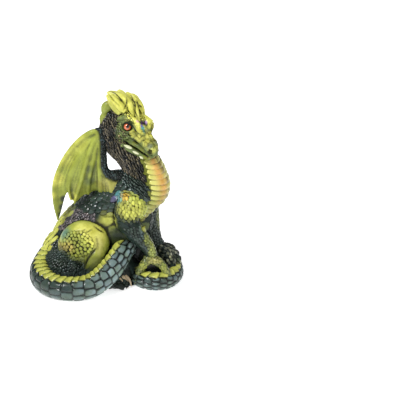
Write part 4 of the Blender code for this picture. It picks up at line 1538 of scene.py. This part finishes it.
# The mouth's line and the wrinkles of the cheek, darkened by the wash, which also paints their shade.
for line, width, depth, wash_and_shade in (
    ([(-7, -16), (0, -17.6), (7, -21), (14, -25.4), (20, -30), (26, -35)], 1.3, 1.6, 1.0),
    ([(5.4, -1.8), (8.6, -4.4), (12, -8.4), (16, -12)], 0.9, 0.9, 0.95),
    ([(-8, 3.4), (-4, 6), (1, 6), (5, 4), (8, 0.4)], 0.8, 0.6, 0.9),
    ([(-14, 1), (-10, -2), (-7, -6)], 0.7, 0.5, 0.7),
    ([(-4, -6.6), (1, -7.6), (5, -9)], 0.7, 0.5, 0.8),
    ([(-9, -9), (-3, -11), (3, -12.4), (9, -15.4), (14, -18)], 0.8, 0.7, 0.85),
):
    path = [face_spot(skull_tree, u, v, 0.8) for u, v in line]
    for side in (-1, 1):
        face.groove([tuple(in_head(x, -side * y, z)) for x, y, z in path], width, depth, wash_and_shade)
carved = face.tree()
for line, width, depth, wash_and_shade in (
    # The ear's slit, then the lines between ear and locks.
    ([(-18, 38), (-14, 34.6), (-10.6, 31.6), (-4.4, 25.6)], 1.1, 1.6, 1.0),
    ([(-19, 33), (-15, 27.6), (-8, 21.4)], 0.9, 0.5, 0.6),
    ([(-0.2, 31), (-0.6, 25), (-2, 20), (-4, 17.4)], 1.0, 1.2, 1.0),
    ([(0.3, 20), (2.6, 15), (5.2, 12)], 0.9, 0.9, 0.95),
    ([(3.7, 32.4), (6.4, 27.4), (8.2, 22.8), (8.2, 15), (11.4, 7.8)], 0.9, 1.0, 1.0),
    ([(9.6, 28), (11.6, 22), (12.2, 17.4), (14.2, 13.4)], 0.9, 0.9, 0.95),
    # The black line of the upper lid, run out over the cheek.
    ([(-6.8, 0.6), (-3.4, 3.4), (1, 4), (4.9, 1.2), (8.4, -3.6), (11.8, -9)], 1.35, 0.9, 1.0),
):
    path = [face_spot(carved, u, v) for u, v in line]
    for side in (-1, 1):
        face.groove([tuple(in_head(x, -side * y, z)) for x, y, z in path], width, depth, wash_and_shade)


def scaly(surface, wanted, pitch, lift, line):
    """Carves close-set scales into a surface and darkens the lines between them, partly dark joints and
    partly painted shade, and returns each point's tone, with painted shade towards each scale's edge.
    """
    seeds, _, _ = Skin(surface).strewn(wanted, pitch)
    finder = KDTree(len(seeds))
    for k, seed in enumerate(seeds):
        finder.insert(Vector(seed), k)
    finder.balance()
    out = surface.normals()
    shade = np.ones(len(surface.co))
    tones = RANDOM.normal(1, 0.16, len(seeds))
    for k in np.nonzero(wanted > 0.5)[0]:
        (_, a, near), (_, _, far) = finder.find_n(Vector(surface.co[k]), 2)
        gap = (far - near) / pitch
        surface.co[k] += out[k] * lift * min(1.0, gap * 2.2)
        surface.wash_and_shade[k] = max(surface.wash_and_shade[k], min(1.0, max(0.0, 1.15 - gap / line)))
        shade[k] = tones[a] * (0.86 + 0.3 * min(1.0, gap * 1.5))
    return shade


def face_patch(*patches):
    """How much of the face lies in round patches, each right of, above and within a reach of the eye."""
    wanted = np.zeros(len(face.co))
    for right, up, reach in patches:
        at = face_spot(skull_tree, right, up)
        for spot in both_sides(*at):
            wanted = np.maximum(wanted, inside(face.co, tuple(spot), (reach,) * 3))
    return wanted


eyes = np.zeros(len(face.co))
for eye in both_sides(*EYE_AT):
    eyes = np.maximum(eyes, inside(face.co, tuple(eye), (6.4,) * 3))
crown_height = (face.co - np.array(HEAD_AT)) @ np.array(HEAD_CROWN)
brows = face_patch((-9, 6, 6), (-2, 9, 6), (5, 7, 6), (11, 3, 5), (16, 2, 6), (20, 7, 7))
brows = brows * (1 - eyes) * (crown_height < 11.5)
pads = face_patch(
    (8, -8, 6.5), (14, -12, 6.5), (17, -5, 6), (21, -11, 6), (22, -19, 6.5), (27, -22, 6), (28, -14, 6),
)
pads = pads * (1 - eyes)
pads *= 1 - brows
pads *= 1 - face_patch((16, 1, 5.6))
brows *= 1 - face_patch((15.8, 2, 5.4))
shade = scaly(face, brows, 2.3, 0.3, 0.15) * scaly(face, pads, 4.4, 0.4, 0.1)
# A dark ring of wash round each eye, which also paints the shade in its socket.
for eye in both_sides(*EYE_AT):
    far = np.linalg.norm(face.co - np.array(eye), axis=1)
    face.wash_and_shade = np.maximum(face.wash_and_shade, np.clip((EYE_RADIUS + 1.3 - far) / 0.7, 0, 1))
# The dark wash in the head's hollows, which also paints their shade; less of it on the jewel and on the pads
# and brows.
head_wash_and_shade = np.clip(np.maximum(face.wash_and_shade, face.hollows(10) * 1.6), 0, 1)
head_wash_and_shade *= 1 - 0.75 * face_patch((15.8, 1.6, 6))
head_wash_and_shade = np.where(head_wash_and_shade < 0.8, head_wash_and_shade * (1 - 0.5 * np.maximum(pads, brows)), head_wash_and_shade)


def face_at(right, up, tree=skull_tree):
    return tuple(in_head(*face_spot(tree, right, up)))


HEAD_SPOTS = (
    # right, up, reach, colour and strength: the dark jaw and cheek, the brow, the snout and the lips
    (-16, -4, 13, INK * 2, 1.0), (-10, -20, 14, INK * 2, 1.0), (4, -34, 13, INK * 2, 0.9),
    (-16, 8, 9, INK * 2, 0.9),
    (0, 0, 8, PINE * 0.5, 0.9), (-6, -8, 8, MOSS * 0.7, 0.8), (-6, 8, 6, MOSS * 1.5, 0.9),
    (0, 9, 5, LEMON * 0.7 + SLATE * 0.3, 0.9), (5, 9, 5, STRAW * 1.15, 0.9), (9, 11, 4, AMBER * 0.8, 0.6),
    (8, 4, 4, LEAF, 0.9), (20, 8, 6, LEMON * 0.5 + LEAF * 0.5, 0.9),
    (6, -7.5, 5.5, LEMON, 1.0), (12, -12, 6.5, LEMON, 1.0), (14, -4, 7, LEMON, 1.0), (20, -10, 8, LEMON, 1.0),
    (21, -18, 7, LEMON, 0.9), (26, -24, 7, LEMON * 0.5 + LEAF * 0.5, 0.9), (30, -17, 5, SLATE, 0.7),
    (8, -18, 5, OLIVE * 0.9, 0.9), (15, -24, 5, OLIVE * 0.9, 0.9), (0, -15, 5, MOSS, 0.9),
    (22, -31, 5, STRAW * 0.8, 0.8), (8, -26, 5, MOSS * 0.7, 0.9), (18, -33, 5, LEAF * 0.7, 0.8),
)
JEWEL_SPOTS = (
    (11, 5.5, 2.8, paint((206, 164, 156)), 0.9), (18.8, 4.1, 3.2, paint((170, 136, 196)), 0.9),
    (16, -1.8, 3.2, TEAL * 1.3, 1.0), (17, -4.8, 2.8, TEAL * 1.2, 0.9),
    (15, 0.6, 2.4, paint((104, 100, 196)), 0.9),
    (14.7, 3.9, 3.0, VIOLET, 1.0), (14.3, 4.6, 1.6, VIOLET * 0.2, 0.9),
)
head_spots = []
for right, up, reach, colour, strength in HEAD_SPOTS:
    at = face_at(right, up)
    head_spots.append((at, (reach,) * 3, colour, strength))
    head_spots.append((mirrored(at), (reach,) * 3, colour, strength))
finished = face.tree()
jewel_spots = []
for right, up, reach, colour, strength in JEWEL_SPOTS:
    jewel_spots.append((face_at(right, up, finished), (reach,) * 3, colour, strength))


def head_paint(co):
    offset = co - np.array(HEAD_AT)
    high = offset @ np.array(HEAD_CROWN)
    left = offset @ np.array(HEAD_LEFT)
    rearward = -offset @ np.array(HEAD_FORWARD)
    back = np.clip((rearward - 11) / 4, 0, 1) * np.clip((high - 1) / 3, 0, 1)
    crown = np.maximum(np.clip((high - 7.5) / 3, 0, 1), back)[:, None]
    tint = spray(co, np.tile(MOSS * 1.1, (len(co), 1)), head_spots)
    streak = np.clip(0.5 + 0.5 * np.sin(left * 1.7 + high * 0.9), 0, 1)[:, None]
    hair = LEMON * (0.7 + 0.35 * streak) + LEAF * (0.35 - 0.3 * streak)
    low = (np.clip((15 - high) / 8, 0, 1) * np.clip((rearward - 10) / 8, 0, 1))[:, None]
    hair = hair * (1 - 0.55 * low) + OLIVE * 0.9 * 0.55 * low
    tint = np.where(crown > 0, tint * (1 - crown) + hair * crown, tint)
    x, z = co[:, 0], co[:, 2]
    mane = np.clip((13 - x) / 3, 0, 1) * np.clip((212 - z - x * 0.2) / 4, 0, 1) * (1 - crown[:, 0])
    mane = (mane * np.clip((9 - x) / 3, 0, 1))[:, None]
    tint = tint * (1 - mane) + (LEAF * 0.6 + MOSS * 0.4) * mane
    return spray(co, tint, jewel_spots)


face_skin = Skin(face)
add_piece("head", face.mesh, hide, head_paint(face.co) * shade[:, None], head_wash_and_shade)

# Small scales over the cheeks, brows and behind the jaw.
CHEEK_PATCHES = (
    # right, up and reach
    (-13, -3, 11), (-6, -9, 8), (-14, -16, 11), (-4, -26, 8), (8, -34, 8), (-12, 8, 8), (4, 11, 7),
    (11, 7, 5),
)
cheek = np.zeros(len(face.co))
for right, up, reach in CHEEK_PATCHES:
    for at in (face_at(right, up), mirrored(face_at(right, up))):
        cheek = np.maximum(cheek, inside(face.co, at, (reach,) * 3))
for eye in (NEAR_EYE, Vector(mirrored(NEAR_EYE))):
    cheek *= 1 - inside(face.co, tuple(eye), (7.2,) * 3)
offset = face.co - np.array(HEAD_AT)
cheek *= (offset @ np.array(HEAD_CROWN) < 11) & (face.wash_and_shade < 0.5)
points, normals, spacing = face_skin.strewn(cheek, 1.5)
colours = head_paint(points)
metal = (paint((168, 140, 110)), paint((120, 140, 96)), paint((140, 138, 128)))
size = (spacing * 1.25, spacing * 1.05, 0.9)
spots = []
for point, normal, painted in zip(points, normals, colours):
    colour = painted * 1.5
    if RANDOM.random() < 0.35:
        colour = painted * 0.5 + metal[RANDOM.integers(3)] * 0.4
    spots.append((point, normal, (0.6, -0.4, -0.6), size, tinted(colour, 0.3)))
set_scales("face_beads", "bead", spots, glossy_scale, 11)

# Eyes


def eye_piece(name, side):
    centre = in_head(EYE_AT[0], EYE_AT[1] * side, EYE_AT[2])
    look = (HEAD_LEFT * side * 0.76 + HEAD_FORWARD * 0.4 + HEAD_CROWN * 0.52).normalized()
    wide = HEAD_CROWN.cross(look).normalized()
    high = look.cross(wide)
    clay = bmesh.new()
    bmesh.ops.create_uvsphere(clay, u_segments=40, v_segments=32, radius=EYE_RADIUS)
    frame_of = Matrix((wide, high, look)).transposed().to_4x4()
    facing, around, slit = [], [], []
    for vert in clay.verts:
        d = vert.co.normalized()
        facing.append(d.z)
        around.append(math.atan2(d.y, d.x) / math.pi)
        pupil = np.clip(5.4 - 10 * math.hypot(d.x * 1.2, d.y - 0.14), 0, 1)
        slit.append(float(pupil) if d.z > 0 else 0.0)
    bmesh.ops.transform(clay, matrix=Matrix.Translation(centre) @ frame_of, verts=clay.verts)
    mesh = bpy.data.meshes.new(name)
    clay.to_mesh(mesh)
    clay.free()
    for key, values in (("facing", facing), ("around", around), ("slit", slit)):
        mesh.attributes.new(key, "FLOAT", "POINT").data.foreach_set("value", values)
    add_piece(name + "_glass", mesh, glass, replaces=(name,), slot="eye")


glass = glass_eye()
for node_name, side in (("right_eye", -1), ("left_eye", 1)):
    eye_piece(node_name, side)

# Claws and teeth

CLAWS = (
    # root, tip, thickness and colour: the forepaws' dark claws, then the hind feet's pale ones
    ((33.4, -14, 12), (30.6, -16.6, 5), 2.2, MOSS), ((67, -15, 11), (69.4, -16.6, 5), 2.2, MOSS),
    ((40, 6, 11), (38, 8, 5), 2.2, MOSS), ((72.6, 3.6, 11), (75, 0.4, 5), 2.3, PINE),
    ((78.4, 14.6, 9), (80.6, 12, 4), 2.3, PINE), ((76.6, 33, 9), (79.6, 34, 4), 2.3, PINE),
    ((59, 8, 10), (58, 4, 5), 2.2, PINE),
    ((13.5, -18, 12), (19.5, -22.5, 1.4), 2.7, HORN * 1.2), ((17, -15, 13), (24, -19, 1.4), 2.7, HORN * 1.2),
    ((20, -12, 12.5), (27.5, -15, 1.4), 2.4, HORN * 1.2),
    ((15, 60, 11), (20, 62.5, 1.4), 1.9, HORN), ((17, 57, 12), (23, 59, 1.4), 1.9, HORN),
    ((19, 53, 11), (26, 54, 1.4), 1.9, HORN),
)
CLAW_ARCH = Vector((0.8, 0, 1.4))
CLAW_POINT = 0.35
claws = bmesh.new()
claw_tint = []
for root, tip, thick, colour in CLAWS:
    middle = (Vector(root) + Vector(tip)) / 2 + CLAW_ARCH
    before = len(claws.verts)
    stations = [
        (*root, thick, thick), (*middle, thick * 0.75, thick * 0.8), (*tip, CLAW_POINT, CLAW_POINT),
    ]
    loft(claws, stations, steps=5, sides=12)
    claw_tint.extend([colour] * (len(claws.verts) - before))
claw_mesh = bpy.data.meshes.new("claws")
claws.to_mesh(claw_mesh)
claws.free()
add_piece("claws", claw_mesh, horn, np.array(claw_tint), np.zeros(len(claw_mesh.vertices)))

TEETH = (
    # start and end as right and up, half width and half height
    ((-3.4, -19.8), (5.4, -24), 1.5, 1.7), ((5.6, -26), (12.6, -29), 1.2, 1.3),
    ((13, -30.6), (17, -33), 1.1, 1.2),
)
# How far along a tooth each station lies, and how large the tooth is there
TOOTH_STATIONS = ((0, 0.4), (0.35, 1.0), (0.7, 0.9), (1, 0.3))
TOOTH_LIFT = 1.5
teeth = bmesh.new()
for first, second, wide, tall in TEETH:
    path = []
    for t, size in TOOTH_STATIONS:
        right, up = [a * (1 - t) + b * t for a, b in zip(first, second)]
        path.append((*face_spot(skull_tree, right, up, TOOTH_LIFT), size))
    for side in (-1, 1):
        stations = [(*in_head(x, -side * y, z), wide * size, tall * size) for x, y, z, size in path]
        loft(teeth, stations, up=HEAD_CROWN, steps=5, sides=14)
teeth_mesh = bpy.data.meshes.new("teeth")
teeth.to_mesh(teeth_mesh)
teeth.free()
tooth_points = len(teeth_mesh.vertices)
add_piece("teeth", teeth_mesh, horn, np.tile(PEARL, (tooth_points, 1)), np.zeros(tooth_points))

# Places on the casting, floor, light and camera

for obj, nodes, slot_name in PIECES:
    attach(obj, "root")
    for node in nodes:
        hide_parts(node)

FLOOR_HALF = 6
corners = [(x * FLOOR_HALF, y * FLOOR_HALF, 0) for x, y in ((-1, -1), (1, -1), (1, 1), (-1, 1))]
floor_mesh = bpy.data.meshes.new("floor")
floor_mesh.from_pydata(corners, [], [(0, 1, 2, 3)])
floor = bpy.data.objects.new("floor", floor_mesh)
bpy.context.scene.collection.objects.link(floor)
paper = Nodes("paper")
paper.shader.inputs["Base Color"].default_value = (0.9, 0.9, 0.9, 1)
paper.shader.inputs["Roughness"].default_value = 0.8
paper.shader.inputs["Emission Color"].default_value = (1, 1, 1, 1)
paper.shader.inputs["Emission Strength"].default_value = 0.75
floor_mesh.materials.append(paper.material)

scene = bpy.context.scene
scene.view_settings.view_transform = "Standard"
scene.world = bpy.data.worlds.new("studio")
scene.world.use_nodes = True
sky = scene.world.node_tree.nodes["Background"]
sky.inputs["Color"].default_value = (1.0, 1.0, 1.0, 1)
sky.inputs["Strength"].default_value = 0.34


def soft_light(name, at, size, power, aim=(0, 0, 0.1)):
    light = bpy.data.lights.new(name, "AREA")
    light.size = size
    light.energy = power
    obj = bpy.data.objects.new(name, light)
    obj.location = at
    obj.rotation_mode = "QUATERNION"
    obj.rotation_quaternion = (Vector(at) - Vector(aim)).to_track_quat("Z", "Y")
    scene.collection.objects.link(obj)


soft_light("key", (-0.7, -0.8, 1.4), 0.42, 24)
soft_light("fill", (1.1, -1.0, 0.7), 0.9, 3)

# The picture's middle lies this many pixels right of and above the grid's origin.
MIDDLE_RIGHT = 94
MIDDLE_UP = 82.2
PICTURE_PIXELS = 400
METRES_PER_PIXEL = 1.06 * U
DISTANCE = 5.0
SENSOR_WIDTH = 36
target = SHIFT * U + Vector((MIDDLE_RIGHT * METRES_PER_PIXEL, 0, 0))
target += SHOW_UP * (MIDDLE_UP * METRES_PER_PIXEL)
lens = bpy.data.cameras.new("show_side")
lens.sensor_width = SENSOR_WIDTH
lens.lens = SENSOR_WIDTH * DISTANCE / (PICTURE_PIXELS * METRES_PER_PIXEL)
camera = bpy.data.objects.new("show_side", lens)
camera.location = target + TO_VIEWER * DISTANCE
camera.rotation_mode = "QUATERNION"
camera.rotation_quaternion = TO_VIEWER.to_track_quat("Z", "Y")
scene.collection.objects.link(camera)
scene.camera = camera
